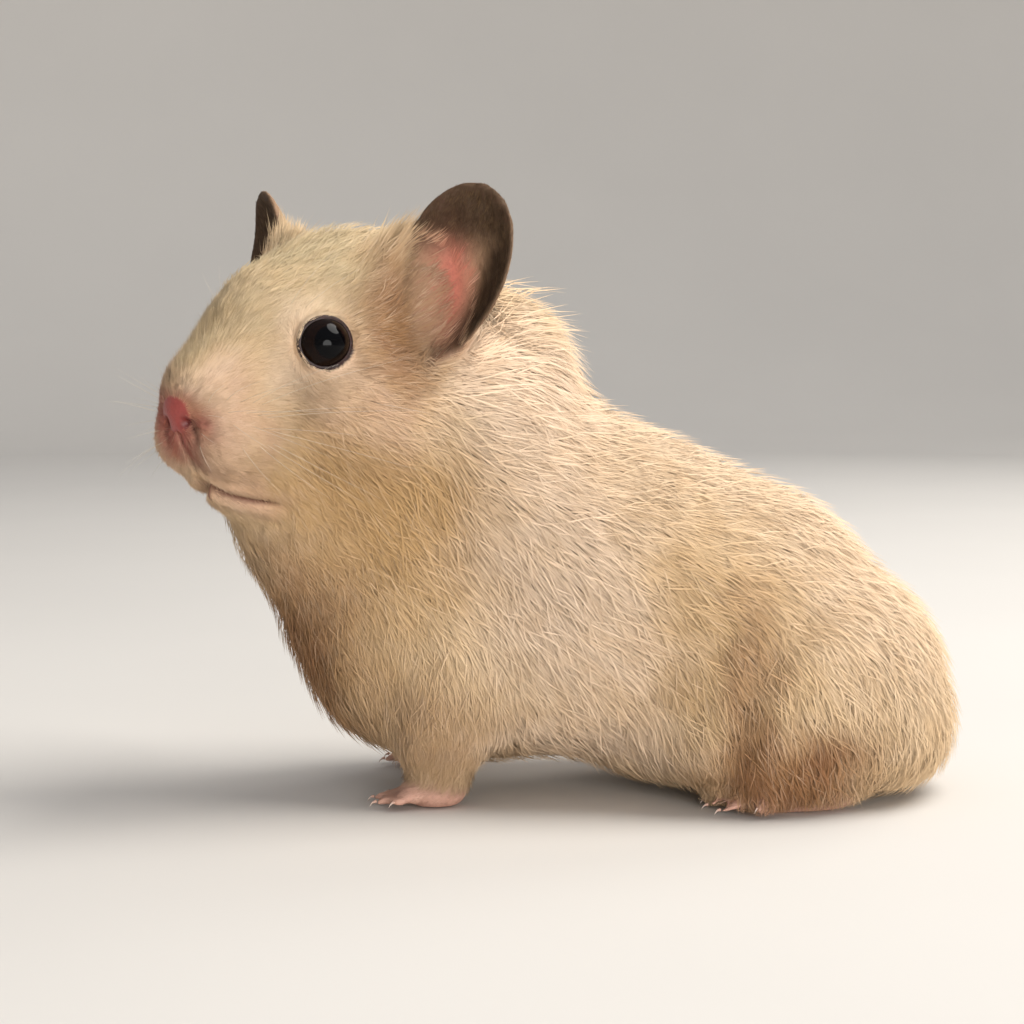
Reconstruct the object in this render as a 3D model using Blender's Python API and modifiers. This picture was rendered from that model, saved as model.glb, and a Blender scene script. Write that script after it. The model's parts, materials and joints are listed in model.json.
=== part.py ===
"""A young black-eyed cream Syrian hamster as a still, life-size model, standing on all fours with its
forequarters raised and its head turned to its left. Each part of the body is one named solid, out to the
tips of the coat. Metres, +Z up, the nose towards -X, the hamster's left side towards -Y."""

import math

import bmesh
import bpy
from mathutils import Matrix, Vector

MM = 0.001
CUT = 0.3 * MM  # the gap left between two parts that meet

# Where the head stands, and how it is turned. Its own axes run forward, to its left and up.
HEAD_AT = Vector((-25.3, -3, 60.0)) * MM
HEAD_YAW = math.radians(45)
HEAD_ROLL = math.radians(-0.5)

# Each mass of flesh and fur is an egg: its centre, its three half-lengths and its pitch, nose down, in mm
# and degrees. The body's masses are given in the model's frame, the head's in the head's own.
TRUNK = {
    "seat": ((38.7, 0, 9.5), (14.5, 19, 12), 0),
    "rump": ((30, 0, 15), (22, 21.5, 17.5), 0),
    "loin": ((19, 0, 21), (25, 21, 21.5), 0),
    "belly": ((5, 0, 20.5), (26, 20.5, 16.5), 0),
    "barrel": ((8, 0, 26), (24, 20.5, 21.5), 0),
    "withers": ((-2, 0, 32), (20, 18, 21.5), 0),
    "breast": ((-18.5, -1, 18.5), (14.5, 15, 14), 0),
    "brisket": ((-8, 0, 13), (14, 14, 9.5), 0),
    "chest": ((-18, -1, 26.5), (18.5, 17, 18), 0),
}
NECK = {
    "nape": ((-9, -1, 47), (16, 15.5, 20), 0),
    "throat": ((-21.5, -2.5, 40), (17, 15, 18), 0),
    "dewlap": ((-27, -3.5, 35), (14, 14, 14), 0),
    "poll": ((-17, -2, 53.5), (14.5, 14.5, 15.5), 0),
    "gullet": ((-33, -9, 38.5), (9.5, 9.5, 9.5), 0),
}
HAUNCH = ((27.5, 14, 13), (15, 9.5, 14), 0)
UPPER_ARM = ((-13, 12, 18), (9, 7.5, 13), 0)
FOREARM = ((-14.5, 13, 9.5), (6.6, 5.4, 8.5), 0)
HEAD = {
    "cranium": ((1, 0, 1.5), (16, 14.2, 12.5), 0),
    "forehead": ((11, 0, 0.5), (14, 9.8, 10), 15),
    "bridge": ((19.5, 0, -4.8), (11, 7.2, 7), 30),
    "snout": ((25.8, 0, -6.8), (5.2, 6.2, 4.7), 0),
    "nose_end": ((25.3, 0, -9.8), (4.8, 5.0, 4.8), 0),
    "chin": ((18.8, 0, -18.6), (7, 5.7, 4.6), 0),
    "jaw": ((8, 0, -14), (14, 10, 8.5), 0),
    "beard": ((13, 0, -18), (8, 8, 6), 0),
}
WHISKER_PAD = ((23.8, 4.3, -12.8), (5.9, 5.0, 5.4), 0)
CHEEK = ((4, 9.2, -9), (14, 9, 11), 0)
EAR_ROOT = ((1.5, 12.3, 4.8), (7, 5.2, 7.8), 0)
NOSE = ((28.3, 0, -9.6), (2.4, 2.7, 2.2), 0)

EYE_AT, EYE_RADIUS = Vector((13.9, 9.1, -1.1)) * MM, 3.5 * MM

# The ear is a shallow dish, widest above its middle, that opens forwards and outwards.
EAR_AT = Vector((0.4, 17.6, 7.4)) * MM
EAR_TILT_OUT, EAR_TILT_BACK, EAR_OPENS_OUT = map(math.radians, (25, 9, 26))
EAR_HALF_WIDTH, EAR_HALF_HEIGHT, EAR_DEPTH, EAR_WALL = 7.3 * MM, 12.6 * MM, 4.2 * MM, 1.1 * MM

# A paw's axes run towards its toes, to the left and up, from the floor under its wrist or ankle.
FOREPAW_AT, FOREPAW_TURN = Vector((-15, 13, 0)) * MM, math.radians(8)
HINDFOOT_AT, HINDFOOT_TURN = Vector((30, 15.5, 0)) * MM, math.radians(10)
PALM = ((0, 0, 2.2), (4.2, 3.3, 2.9), 0)
SOLE = ((-1, 0, 2.1), (8.2, 3.4, 2.9), 0)
TOE_RADIUS, TOE_STEP = 0.85 * MM, 1.0 * MM
FORE_TOES = ((3.0, -26, 4), (3.6, -9, 5), (3.6, 9, 5), (3.0, 26, 4))  # root, fan in degrees, joints
HIND_TOES = ((4.6, -34, 3), (6.2, -14, 5), (6.6, 0, 5), (6.2, 14, 5), (4.6, 34, 3))

TAIL_ROOT, TAIL_TIP = Vector((45, 5, 8)) * MM, Vector((51, 9, 2.2)) * MM
TAIL_RADII = 3.0 * MM, 1.3 * MM

# The coat under the belly and rump is pressed down to just above the floor, over this height.
UNDERSIDE_GAP, UNDERSIDE_SOFTNESS = 0.4 * MM, 1.4 * MM

# Where the thin cuts run: a plane is a point and the way to the part in front of it, in mm.
HEAD_CUT = (-9, -17, 58), (-0.55, -0.3, 0.78)
NECK_CUT = (-16, 0, 40), (-0.44, 0, 0.9)
FORELEG_CUT = ((-14.5, 15, 8.5), (8.5, 9, 14), 0)
HINDLEG_CUT = ((27, 18, 12), (17.5, 11.5, 16.5), 0)

# Each kind of part's colour and roughness.
FINISH = {
    "eye": ((0.006, 0.005, 0.006, 1), 0.06),
    "nose": ((0.52, 0.2, 0.2, 1), 0.45),
    "ear": ((0.26, 0.17, 0.12, 1), 0.7),
    "forepaw": ((0.68, 0.42, 0.34, 1), 0.6),
    "hindfoot": ((0.68, 0.42, 0.34, 1), 0.6),
    "tail": ((0.7, 0.48, 0.38, 1), 0.7),
    "coat": ((0.76, 0.58, 0.36, 1), 0.9),
}

FLESH_VOXEL, FLESH_SMOOTHING, FLESH_TRIANGLES = 1.0 * MM, 30, 2750
PAW_VOXEL, PAW_SMOOTHING, PAW_TRIANGLES = 0.35 * MM, 3, 300


def clear_scene():
    for obj in list(bpy.data.objects):
        bpy.data.objects.remove(obj)


def new_collection(name):
    collection = bpy.data.collections.new(name)
    bpy.context.scene.collection.children.link(collection)
    return collection


def on_side(mass, side):
    """The mass on one side of its frame's middle plane: side is 1, as given, or -1."""
    (x, y, z), radii, pitch = mass
    return (x, side * y, z), radii, pitch


def head_frame():
    """Takes (forward, left, up) in the head to the model's frame."""
    turn = Matrix.Rotation(math.pi + HEAD_YAW, 4, "Z") @ Matrix.Rotation(HEAD_ROLL, 4, "X")
    return Matrix.Translation(HEAD_AT) @ turn


def egg_bmesh(masses, rings=24):
    """A bmesh of eggs. masses is a list of (mass, frame)."""
    bm = bmesh.new()
    for (centre, radii, pitch), frame in masses:
        turn = Matrix.Rotation(math.radians(pitch), 3, "Y").to_quaternion()
        egg = Matrix.LocRotScale(Vector(centre) * MM, turn, Vector(radii) * MM)
        bmesh.ops.create_uvsphere(bm, u_segments=rings * 2, v_segments=rings, radius=1, matrix=frame @ egg)
    return bm


def add_object(name, bm, collection):
    mesh = bpy.data.meshes.new(name)
    bm.to_mesh(mesh)
    bm.free()
    obj = bpy.data.objects.new(name, mesh)
    collection.objects.link(obj)
    return obj


def settle(obj):
    """Applies the object's modifiers."""
    graph = bpy.context.evaluated_depsgraph_get()
    mesh = bpy.data.meshes.new_from_object(obj.evaluated_get(graph))
    obj.modifiers.clear()
    obj.data = mesh
    return obj


def grown_together(name, masses, collection, voxel, smoothing, triangles):
    """One closed skin round all the masses, softened and thinned to about that many triangles."""
    obj = add_object(name, egg_bmesh(masses), collection)
    remesh = obj.modifiers.new("merge", "REMESH")
    remesh.mode = "VOXEL"
    remesh.voxel_size = voxel
    soften = obj.modifiers.new("soften", "SMOOTH")
    soften.factor = 0.6
    soften.iterations = smoothing
    settle(obj)
    thin = obj.modifiers.new("thin", "DECIMATE")
    thin.ratio = min(1, triangles / (2 * len(obj.data.polygons)))
    return settle(obj)


def copy_of(obj, name, collection):
    twin = bpy.data.objects.new(name, obj.data.copy())
    collection.objects.link(twin)
    return twin


def as_cutter(obj):
    obj.hide_render = True
    obj.display_type = "WIRE"
    return obj


def grown(obj, by, collection):
    """A cutter that follows the object's outside at that distance."""
    cutter = as_cutter(copy_of(obj, obj.name + "_clearance", collection))
    swell = cutter.modifiers.new("swell", "DISPLACE")
    swell.strength = by
    swell.mid_level = 0
    return settle(cutter)


def cut(obj, cutter, operation):
    boolean = obj.modifiers.new(operation.lower(), "BOOLEAN")
    boolean.operation = operation
    boolean.object = cutter
    return settle(obj)


def half_space(name, point, normal, collection):
    """A block that fills all that lies ahead of the plane, the way its normal points."""
    size = 200 * MM
    normal = Vector(normal).normalized()
    turn = normal.to_track_quat("Z", "Y").to_matrix().to_4x4()
    bm = bmesh.new()
    at = Matrix.Translation(Vector(point) * MM) @ turn @ Matrix.Translation((0, 0, size / 2))
    bmesh.ops.create_cube(bm, size=size, matrix=at)
    return as_cutter(add_object(name, bm, collection))


def plane_cutters(name, plane, collection):
    """The half space ahead of the plane, and a clearance one that starts a cut's width behind it."""
    point, normal = Vector(plane[0]), Vector(plane[1]).normalized()
    inner = half_space(name, point, normal, collection)
    outer = half_space(name + "_clearance", point - normal * CUT / MM, normal, collection)
    return inner, outer


def egg_cutters(name, mass, frame, collection, rings=8):
    """The egg, and a clearance egg that is larger by the cut."""
    centre, radii, pitch = mass
    larger = centre, tuple(r + CUT / MM for r in radii), pitch
    inner = add_object(name, egg_bmesh([(mass, frame)], rings), collection)
    outer = add_object(name + "_clearance", egg_bmesh([(larger, frame)], rings), collection)
    return as_cutter(inner), as_cutter(outer)


def split(obj, name, cutters, parts):
    """Takes what lies inside the first cutter off the object, as a new part."""
    inner, outer = cutters
    piece = copy_of(obj, name, parts)
    cut(piece, inner, "INTERSECT")
    cut(obj, outer, "DIFFERENCE")
    keep_largest(piece)
    keep_largest(obj)
    return piece


def keep_largest(obj):
    """Drops the loose scraps that a cut leaves beside the part itself."""
    bm = bmesh.new()
    bm.from_mesh(obj.data)
    bm.verts.ensure_lookup_table()
    seen, islands = set(), []
    for start in bm.verts:
        if start in seen:
            continue
        seen.add(start)
        island, front = [start], [start]
        while front:
            for edge in front.pop().link_edges:
                for v in edge.verts:
                    if v not in seen:
                        seen.add(v)
                        island.append(v)
                        front.append(v)
        islands.append(island)
    islands.sort(key=len)
    bmesh.ops.delete(bm, geom=[v for island in islands[:-1] for v in island], context="VERTS")
    bmesh.ops.triangulate(bm, faces=bm.faces)
    bm.to_mesh(obj.data)
    bm.free()


def make_flesh(head, parts):
    body = Matrix.Identity(4)
    masses = [(m, body) for m in [*TRUNK.values(), *NECK.values()]]
    masses += [(m, head) for m in HEAD.values()]
    for side in (1, -1):
        masses += [(on_side(m, side), body) for m in (HAUNCH, UPPER_ARM, FOREARM)]
        masses += [(on_side(m, side), head) for m in (WHISKER_PAD, CHEEK, EAR_ROOT)]
    flesh = grown_together("flesh", masses, parts, FLESH_VOXEL, FLESH_SMOOTHING, FLESH_TRIANGLES)
    for v in flesh.data.vertices:
        above = v.co.z - UNDERSIDE_GAP
        v.co.z = UNDERSIDE_GAP + (above + math.hypot(above, UNDERSIDE_SOFTNESS)) / 2
    return flesh


def make_ear(name, side, head, parts):
    """A dish: the lower half of a sphere, flattened to a shallow bowl and drawn out to the ear's outline."""
    bm = bmesh.new()
    bmesh.ops.create_uvsphere(bm, u_segments=18, v_segments=8, radius=1)
    bmesh.ops.delete(bm, geom=[v for v in bm.verts if v.co.z > 1e-4], context="VERTS")
    for v in bm.verts:
        across, up = v.co.x, v.co.y
        bowl = 1 - across**2 - up**2
        width = 1 + 0.16 * up - 0.12 * up**2
        v.co.x = EAR_HALF_WIDTH * across * width
        v.co.y = EAR_HALF_HEIGHT * up
        v.co.z = -EAR_DEPTH * bowl * (1 - 0.3 * up)
    up_axis = Vector((-math.sin(EAR_TILT_BACK), side * math.sin(EAR_TILT_OUT), 1)).normalized()
    opens = Vector((math.cos(EAR_OPENS_OUT), side * math.sin(EAR_OPENS_OUT), 0))
    opens = (opens - opens.project(up_axis)).normalized()
    turn = Matrix((up_axis.cross(opens), up_axis, opens)).transposed().to_4x4()
    at = Matrix.Translation((EAR_AT.x, side * EAR_AT.y, EAR_AT.z))
    bm.transform(head @ at @ turn)
    ear = add_object(name, bm, parts)
    wall = ear.modifiers.new("wall", "SOLIDIFY")
    wall.thickness = EAR_WALL
    wall.offset = 0
    rim = ear.modifiers.new("rim", "BEVEL")
    rim.width = EAR_WALL * 0.3
    rim.segments = 1
    rim.angle_limit = math.radians(50)
    return settle(ear)


def make_paw(name, middle, toes, frame, parts):
    masses = [(middle, frame)]
    for root, fan, joints in toes:
        fan = math.radians(fan)
        for i in range(joints):
            out = root * MM + i * TOE_STEP
            drop = 1.9 * MM - i * 0.22 * MM
            at = Vector((out * math.cos(fan), out * math.sin(fan) * 1.25, drop)) / MM
            masses.append(((tuple(at), (TOE_RADIUS / MM * 1.15, TOE_RADIUS / MM, TOE_RADIUS / MM), 0), frame))
    return grown_together(name, masses, parts, PAW_VOXEL, PAW_SMOOTHING, PAW_TRIANGLES)


def paw_frame(at, turn, side):
    place = Matrix.Translation((at.x, side * at.y, at.z))
    return place @ Matrix.Rotation(math.pi - side * turn, 4, "Z")


def make_tail(parts):
    masses = []
    steps = 12
    for i in range(steps + 1):
        t = i / steps
        radius = TAIL_RADII[0] + (TAIL_RADII[1] - TAIL_RADII[0]) * t
        sag = Vector((0, 0, -2 * MM * math.sin(math.pi * t)))
        at = TAIL_ROOT.lerp(TAIL_TIP, t) + sag
        masses.append(((tuple(at / MM), (radius / MM,) * 3, 0), Matrix.Identity(4)))
    return grown_together("tail", masses, parts, 0.5 * MM, 4, 200)


def make_eye(name, side, head, parts, cutters):
    """The eyeball, and a cutter for the socket it lies in."""
    at = Matrix.Translation((EYE_AT.x, side * EYE_AT.y, EYE_AT.z))
    bm = bmesh.new()
    bmesh.ops.create_uvsphere(bm, u_segments=16, v_segments=10, radius=EYE_RADIUS, matrix=head @ at)
    eye = add_object(name, bm, parts)
    bm = bmesh.new()
    bmesh.ops.create_uvsphere(bm, u_segments=16, v_segments=10, radius=EYE_RADIUS + CUT, matrix=head @ at)
    return eye, as_cutter(add_object(name + "_socket", bm, cutters))


def paint(obj):
    kind = obj.name.split("_")[0]
    colour, roughness = FINISH.get(kind, FINISH["coat"])
    material = bpy.data.materials.new(obj.name)
    material.use_nodes = True
    shader = material.node_tree.nodes["Principled BSDF"]
    shader.inputs["Base Color"].default_value = colour
    shader.inputs["Roughness"].default_value = roughness
    shader.inputs["Metallic"].default_value = 0
    obj.data.materials.clear()
    obj.data.materials.append(material)


def stand_at_origin(solids):
    """Moves everything so that the middle of its box's underside is the origin."""
    corners = [v.co for obj in solids for v in obj.data.vertices]
    low = Vector(min(c[i] for c in corners) for i in range(3))
    high = Vector(max(c[i] for c in corners) for i in range(3))
    shift = Vector((-(low.x + high.x) / 2, -(low.y + high.y) / 2, -low.z))
    for obj in solids:
        obj.data.transform(Matrix.Translation(shift))


def main():
    clear_scene()
    parts = new_collection("syrian_hamster")
    cutters = new_collection("cutters")
    head, body = head_frame(), Matrix.Identity(4)
    floor = half_space("floor", (0, 0, 0), (0, 0, -1), cutters)
    flesh = make_flesh(head, parts)
    skin = grown(flesh, CUT, cutters)
    for side, word in ((-1, "right"), (1, "left")):
        _, socket = make_eye("eye_" + word, side, head, parts, cutters)
        cut(flesh, socket, "DIFFERENCE")
        ear = make_ear("ear_" + word, side, head, parts)
        cut(ear, skin, "DIFFERENCE")
        keep_largest(ear)
        for name, middle, toes, at, turn in (
            ("forepaw_", PALM, FORE_TOES, FOREPAW_AT, FOREPAW_TURN),
            ("hindfoot_", SOLE, HIND_TOES, HINDFOOT_AT, HINDFOOT_TURN),
        ):
            paw = make_paw(name + word, middle, toes, paw_frame(at, turn, -side), parts)
            cut(flesh, grown(paw, CUT, cutters), "DIFFERENCE")
            cut(paw, floor, "DIFFERENCE")
            keep_largest(paw)
    tail = make_tail(parts)
    cut(tail, skin, "DIFFERENCE")
    keep_largest(tail)
    keep_largest(flesh)
    split(flesh, "nose", egg_cutters("nose_cut", NOSE, head, cutters, 6), parts)
    split(flesh, "head", plane_cutters("head_cut", HEAD_CUT, cutters), parts)
    split(flesh, "neck", plane_cutters("neck_cut", NECK_CUT, cutters), parts)
    for side, word in ((1, "right"), (-1, "left")):
        for name, mass in (("foreleg_", FORELEG_CUT), ("hindleg_", HINDLEG_CUT)):
            eggs = egg_cutters(name + "cut_" + word, on_side(mass, side), body, cutters)
            split(flesh, name + word, eggs, parts)
    flesh.name = "trunk"
    for obj in parts.objects:
        paint(obj)
        for face in obj.data.polygons:
            face.use_smooth = True
    stand_at_origin(list(parts.objects))


main()
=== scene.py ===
"""The looks of a young cream Syrian hamster, a still life-size model.

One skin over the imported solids, a coat of fine tufts that follows the lie of the fur, wet black eyes,
whiskers and claws, on a plain pale stage."""

import json
import math
from contextlib import contextmanager

import bpy
import numpy as np
from bpy.props import FloatProperty, FloatVectorProperty, IntProperty, PointerProperty
from mathutils import Matrix, Vector
from mathutils.bvhtree import BVHTree
from mathutils.kdtree import KDTree

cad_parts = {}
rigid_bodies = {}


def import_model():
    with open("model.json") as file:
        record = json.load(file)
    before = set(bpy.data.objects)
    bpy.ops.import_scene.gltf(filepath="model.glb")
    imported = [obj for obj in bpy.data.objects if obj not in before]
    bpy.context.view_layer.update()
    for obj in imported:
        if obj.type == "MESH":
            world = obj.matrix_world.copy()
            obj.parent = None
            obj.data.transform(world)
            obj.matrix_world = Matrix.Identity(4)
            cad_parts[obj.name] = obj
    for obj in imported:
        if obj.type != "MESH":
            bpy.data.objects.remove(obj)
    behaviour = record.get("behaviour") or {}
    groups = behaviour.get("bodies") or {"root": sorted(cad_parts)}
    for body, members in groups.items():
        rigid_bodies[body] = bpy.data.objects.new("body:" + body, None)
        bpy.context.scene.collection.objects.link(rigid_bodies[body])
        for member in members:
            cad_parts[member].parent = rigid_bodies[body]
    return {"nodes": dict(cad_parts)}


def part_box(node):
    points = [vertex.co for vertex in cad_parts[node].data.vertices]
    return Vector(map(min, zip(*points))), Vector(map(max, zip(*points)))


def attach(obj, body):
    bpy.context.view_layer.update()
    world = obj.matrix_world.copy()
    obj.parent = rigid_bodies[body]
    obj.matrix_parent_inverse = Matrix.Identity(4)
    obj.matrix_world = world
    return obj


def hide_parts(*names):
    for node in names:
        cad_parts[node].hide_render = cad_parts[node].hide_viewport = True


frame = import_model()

bl_info = {
    "name": "Syrian hamster",
    "version": (1, 0, 0),
    "blender": (4, 5, 0),
    "location": "View3D > Sidebar > Hamster",
    "description": "Dresses the solids of a Syrian hamster in skin, coat, eyes, whiskers and claws",
    "category": "Object",
}

MM = 0.001
SIDES = {"left": 1, "right": -1}
FLESH = ["trunk", "neck", "head", "nose", "tail"] + [
    part + "_" + side for part in ("ear", "foreleg", "forepaw", "hindleg", "hindfoot") for side in SIDES
]


def middle(node):
    low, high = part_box(node)
    return (low + high) / 2


# The head's own axes run forward, to its left and up from the point between the eyes.
BETWEEN_EYES = (middle("eye_left") + middle("eye_right")) / 2
LEFTWARD = (middle("eye_left") - middle("eye_right")).normalized()
UPWARD = (Vector((0, 0, 1)) - LEFTWARD * LEFTWARD.z).normalized()
FORWARD = LEFTWARD.cross(UPWARD)
HEAD = Matrix.Translation(BETWEEN_EYES) @ Matrix((FORWARD, LEFTWARD, UPWARD)).transposed().to_4x4()
# The body's own axes are the model's, from under its middle plane: between the feet, level with the floor.
FEET_MIDDLE_Y = (middle("hindleg_left").y + middle("hindleg_right").y) / 2
BODY = Matrix.Translation((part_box("trunk")[1].x - 52.93 * MM, FEET_MIDDLE_Y, 0))
EYE_RADIUS = (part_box("eye_left")[1].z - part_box("eye_left")[0].z) / 2
# The way the left eye looks in the head's axes, and the lids' rim in degrees from there.
GAZE = np.array((0.36, 0.93, 0.1))
LID_ANGLE = 64

# The ear is a shallow dish in the head's axes: its middle, its tilts, and its half-sizes and depth.
EAR_AT = Vector((-13.5, 17.6, 8.5)) * MM
EAR_TILT_OUT, EAR_TILT_BACK, EAR_OPENS_OUT = map(math.radians, (25, 9, 26))
EAR_HALF_WIDTH, EAR_HALF_HEIGHT, EAR_DEPTH, EAR_WALL = 7.3 * MM, 12.6 * MM, 4.2 * MM, 1.1 * MM

# How the coat lies. At each place: the way the hairs point, their length and the coat's depth, in mm.
# The head's places and ways are in its own axes, the body's in the body's; both hold for both sides.
HEAD_LIE = {
    "nose top": ((14.5, 0, -4.5), (-1, 0, 0.5), 1.3, 0.3),
    "snout top": ((11, 3.5, -2.5), (-0.9, 0.4, 0.4), 1.8, 0.45),
    "nose side": ((13, 4.5, -8), (-0.8, 0.8, 0.1), 1.2, 0.25),
    "upper lip": ((12, 3.5, -13), (-0.6, 0.7, -0.6), 1.5, 0.3),
    "lower lip": ((7.5, 1.5, -20), (-0.6, 0.3, -0.8), 1.6, 0.35),
    "whisker pad": ((9, 7.5, -12), (-1, 0.5, -0.3), 2.0, 0.5),
    "chin": ((7, 1.5, -19), (-0.7, 0.2, -0.7), 2.0, 0.45),
    "bridge": ((10, 0, 1), (-1, 0, 0.45), 2.0, 0.45),
    "bridge side": ((9, 5.5, -3), (-1, 0.35, 0.1), 1.9, 0.4),
    "brow": ((2, 4, 8), (-1, 0.15, 0.2), 3.0, 0.7),
    "crown": ((-10, 3, 13), (-1, 0.1, 0), 4.6, 1.2),
    "back of head": ((-22, 3, 9), (-1, 0.1, -0.3), 6.5, 2.0),
    "above eye": ((0.5, 8.5, 5), (-0.9, 0.3, 0.4), 1.7, 0.4),
    "below eye": ((1, 12, -5), (-0.9, 0.35, -0.35), 2.0, 0.5),
    "behind eye": ((-5, 13.5, -0.5), (-1, 0.2, -0.05), 2.6, 0.65),
    "cheek": ((-1, 14, -9), (-0.9, 0.2, -0.5), 4.2, 1.2),
    "jaw": ((0, 10, -16), (-0.8, 0.1, -0.8), 4.6, 1.4),
    "below ear": ((-14, 17, -7), (-0.9, 0.3, -0.4), 7.5, 2.6),
    "before ear": ((-7, 14, 6), (-0.6, 0.4, 0.7), 4.2, 1.0),
    "root of ear": ((-11, 16.5, 4), (-0.5, 0.4, 0.8), 4.0, 0.9),
    "behind ear": ((-21, 16, 2), (-0.8, 0.45, -0.1), 9, 3.0),
}
BODY_LIE = {
    "throat": ((-38, -8, 36), (0.35, -0.1, -1), 5, 1.1),
    "chest": ((-34, -3, 24), (0.4, 0, -1), 6, 1.4),
    "side of neck": ((-18, -16, 42), (0.55, -0.1, -0.8), 7.5, 1.8),
    "nape": ((-2, -12, 55), (0.85, -0.2, -0.5), 8.0, 2.1),
    "withers": ((2, 0, 53), (1, 0, -0.35), 7, 1.7),
    "shoulder": ((-8, -17, 28), (0.6, -0.1, -0.8), 7, 1.7),
    "breast": ((-25, -8, 12), (0.4, 0, -0.9), 5, 1.1),
    "upper arm": ((-15, -19, 16), (0.1, -0.1, -1), 4.5, 0.98),
    "forearm": ((-15, -18, 8), (-0.1, -0.1, -1), 2.4, 0.5),
    "back": ((18, 0, 42), (1, 0, -0.35), 7, 1.7),
    "flank": ((8, -20, 24), (0.75, 0, -0.65), 7, 1.7),
    "side of belly": ((8, -17, 10), (0.6, 0, -0.8), 6.5, 1.5),
    "belly": ((5, 0, 4), (1, 0, 0), 4, 0.8),
    "loin": ((30, -10, 34), (1, -0.1, -0.6), 7, 1.7),
    "haunch": ((27, -23, 15), (0.35, -0.1, -0.9), 6, 1.4),
    "front of haunch": ((14, -20, 14), (0.5, -0.1, -0.85), 6.5, 1.5),
    "knee": ((18, -18, 5), (0.2, -0.1, -1), 3.2, 0.8),
    "rump": ((45, -8, 28), (0.7, -0.1, -0.8), 6.5, 1.5),
    "back of rump": ((50, -5, 14), (0.1, 0, -1), 6, 1.4),
    "seat": ((44, 0, 3), (-0.6, 0, -0.2), 3.5, 0.8),
}
# Ears, paws, tail and nose have a short down of their own: its length and depth, and its way in the model's
# axes. An ear's down points up the ear.
DOWN = {
    "ear": (1.1, 0.12, None),
    "forepaw": (0.8, 0.1, (-1, 0, -0.3)),
    "hindfoot": (0.8, 0.1, (-1, 0, -0.3)),
    "tail": (2.0, 0.3, (1, 0, -0.5)),
    "nose": (0.5, 0.05, -FORWARD),
}
# The most depth that the coat may have over the thin sheets of the ears.
EAR_COAT = 0.15 * MM
# Where the coat stands up: the axes, the middle and half-sizes, and how far the tips are pushed, in mm.
RUFFS = {
    "before ear": ("head", (-9, 9.5, 12.5), (5, 4, 4.5), (0.3, 1.3, 3.4)),
    "behind ear": ("head", (-22, 15, 5), (6, 6, 7), (-1.4, 1.0, 0.8)),
    "nape": ("body", (-3, -9, 56), (7, 8, 6), (0.7, -0.7, 0.1)),
    "snout": ("head", (12, 2, -2), (7, 6, 6), (0.35, 0.2, 0.55)),
    "cheek": ("head", (-6, 14, -12), (8, 6, 6), (-0.3, 0.7, -0.3)),
}
AXES = {"head": HEAD, "body": BODY}
NOSE_PAD = np.array(HEAD.inverted() @ middle("nose")) + np.array((1.4, 0, 0)) * MM
NOSTRIL = NOSE_PAD + np.array((-1.2, 2.1, -1.2)) * MM
# The mouth on the left, in the head's axes: how far out from the middle, and how far below the eyes.
MOUTH_OUT = np.array((0, 1.8, 3.2, 4.8, 6.4)) * MM
MOUTH_UP = np.array((-17.0, -18.1, -19.0, -19.6, -19.6)) * MM
# In the body's axes: the fold before the left haunch, from the belly up, and the middle of the nape.
HAUNCH_FOLD = ((20.5, 18, 2.5), (22.5, 20.5, 8.6), (24, 21.5, 15.4), (28, 21, 21), (34, 19, 24))
HAUNCH_FOLD = np.array(HAUNCH_FOLD) * MM
NAPE = np.array((1, -4, 56)) * MM
# The pairs of paws in the body's axes: their place and turn outwards, and each toe's start, fan and joints.
PAWS = (
    ((-15, 13), 8, ((3.0, -26, 4), (3.6, -9, 5), (3.6, 9, 5), (3.0, 26, 4))),
    ((30, 15.5), 10, ((4.6, -34, 3), (6.2, -14, 5), (6.6, 0, 5), (6.2, 14, 5), (4.6, 34, 3))),
)
WHISKER_RADIUS, CLAW_RADIUS = 0.028 * MM, 0.22 * MM
FLOOR_RADIUS, WALL_CURVE, WALL_STEPS, WALL_HEIGHT = 0.75, 0.3, 8, 0.15
# The middle of the picture in the body's axes, and how far up from level the camera stands, in degrees.
LOOK_AT, CAMERA_TILT = Vector((-5.4, 0, 36.5)) * MM, 5
# Each lamp's place, size and colour. Its power is one of the stage's settings.
LAMPS = {
    "key": ((0.30, 0.0, 0.55), 0.45, (1.0, 0.97, 0.93)),
    "fill": ((0.24, -0.69, 0.05), 0.5, (1.0, 0.98, 0.96)),
    "rim": ((0.45, 0.45, 0.35), 0.3, (1.0, 0.98, 0.95)),
}


def tint(red, green, blue):
    """A colour given in the screen's 0 to 255 values, in the renderer's own."""
    parts = [c / 255 for c in (red, green, blue)]
    return tuple(c / 12.92 if c < 0.04 else ((c + 0.055) / 1.055) ** 2.4 for c in parts)


# Small helpers.


def select_only(*objects):
    bpy.ops.object.select_all(action="DESELECT")
    for obj in objects:
        obj.select_set(True)
    bpy.context.view_layer.objects.active = objects[-1]


def apply_modifier(obj, kind, **settings):
    """Adds a modifier with those settings and applies it."""
    select_only(obj)
    bpy.ops.object.modifier_add(type=kind)
    modifier = obj.modifiers[-1]
    for name, value in settings.items():
        setattr(modifier, name, value)
    bpy.ops.object.modifier_apply(modifier=modifier.name)


def newest(name):
    """The object just made, named as given."""
    obj = bpy.context.view_layer.objects.active
    obj.name = name
    obj.data.name = name
    return obj


def copy_of(mesh, name):
    """A new object with its own copy of the mesh."""
    obj = bpy.data.objects.new(name, mesh.copy())
    bpy.context.scene.collection.objects.link(obj)
    return obj


@contextmanager
def editing(action="SELECT", kind=None):
    """Edit mode on the active object, with its elements selected as the action says, if one is given."""
    bpy.ops.object.mode_set(mode="EDIT")
    if kind:
        bpy.ops.mesh.select_mode(type=kind)
    if action:
        bpy.ops.mesh.select_all(action=action)
    yield
    bpy.ops.object.mode_set(mode="OBJECT")


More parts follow.
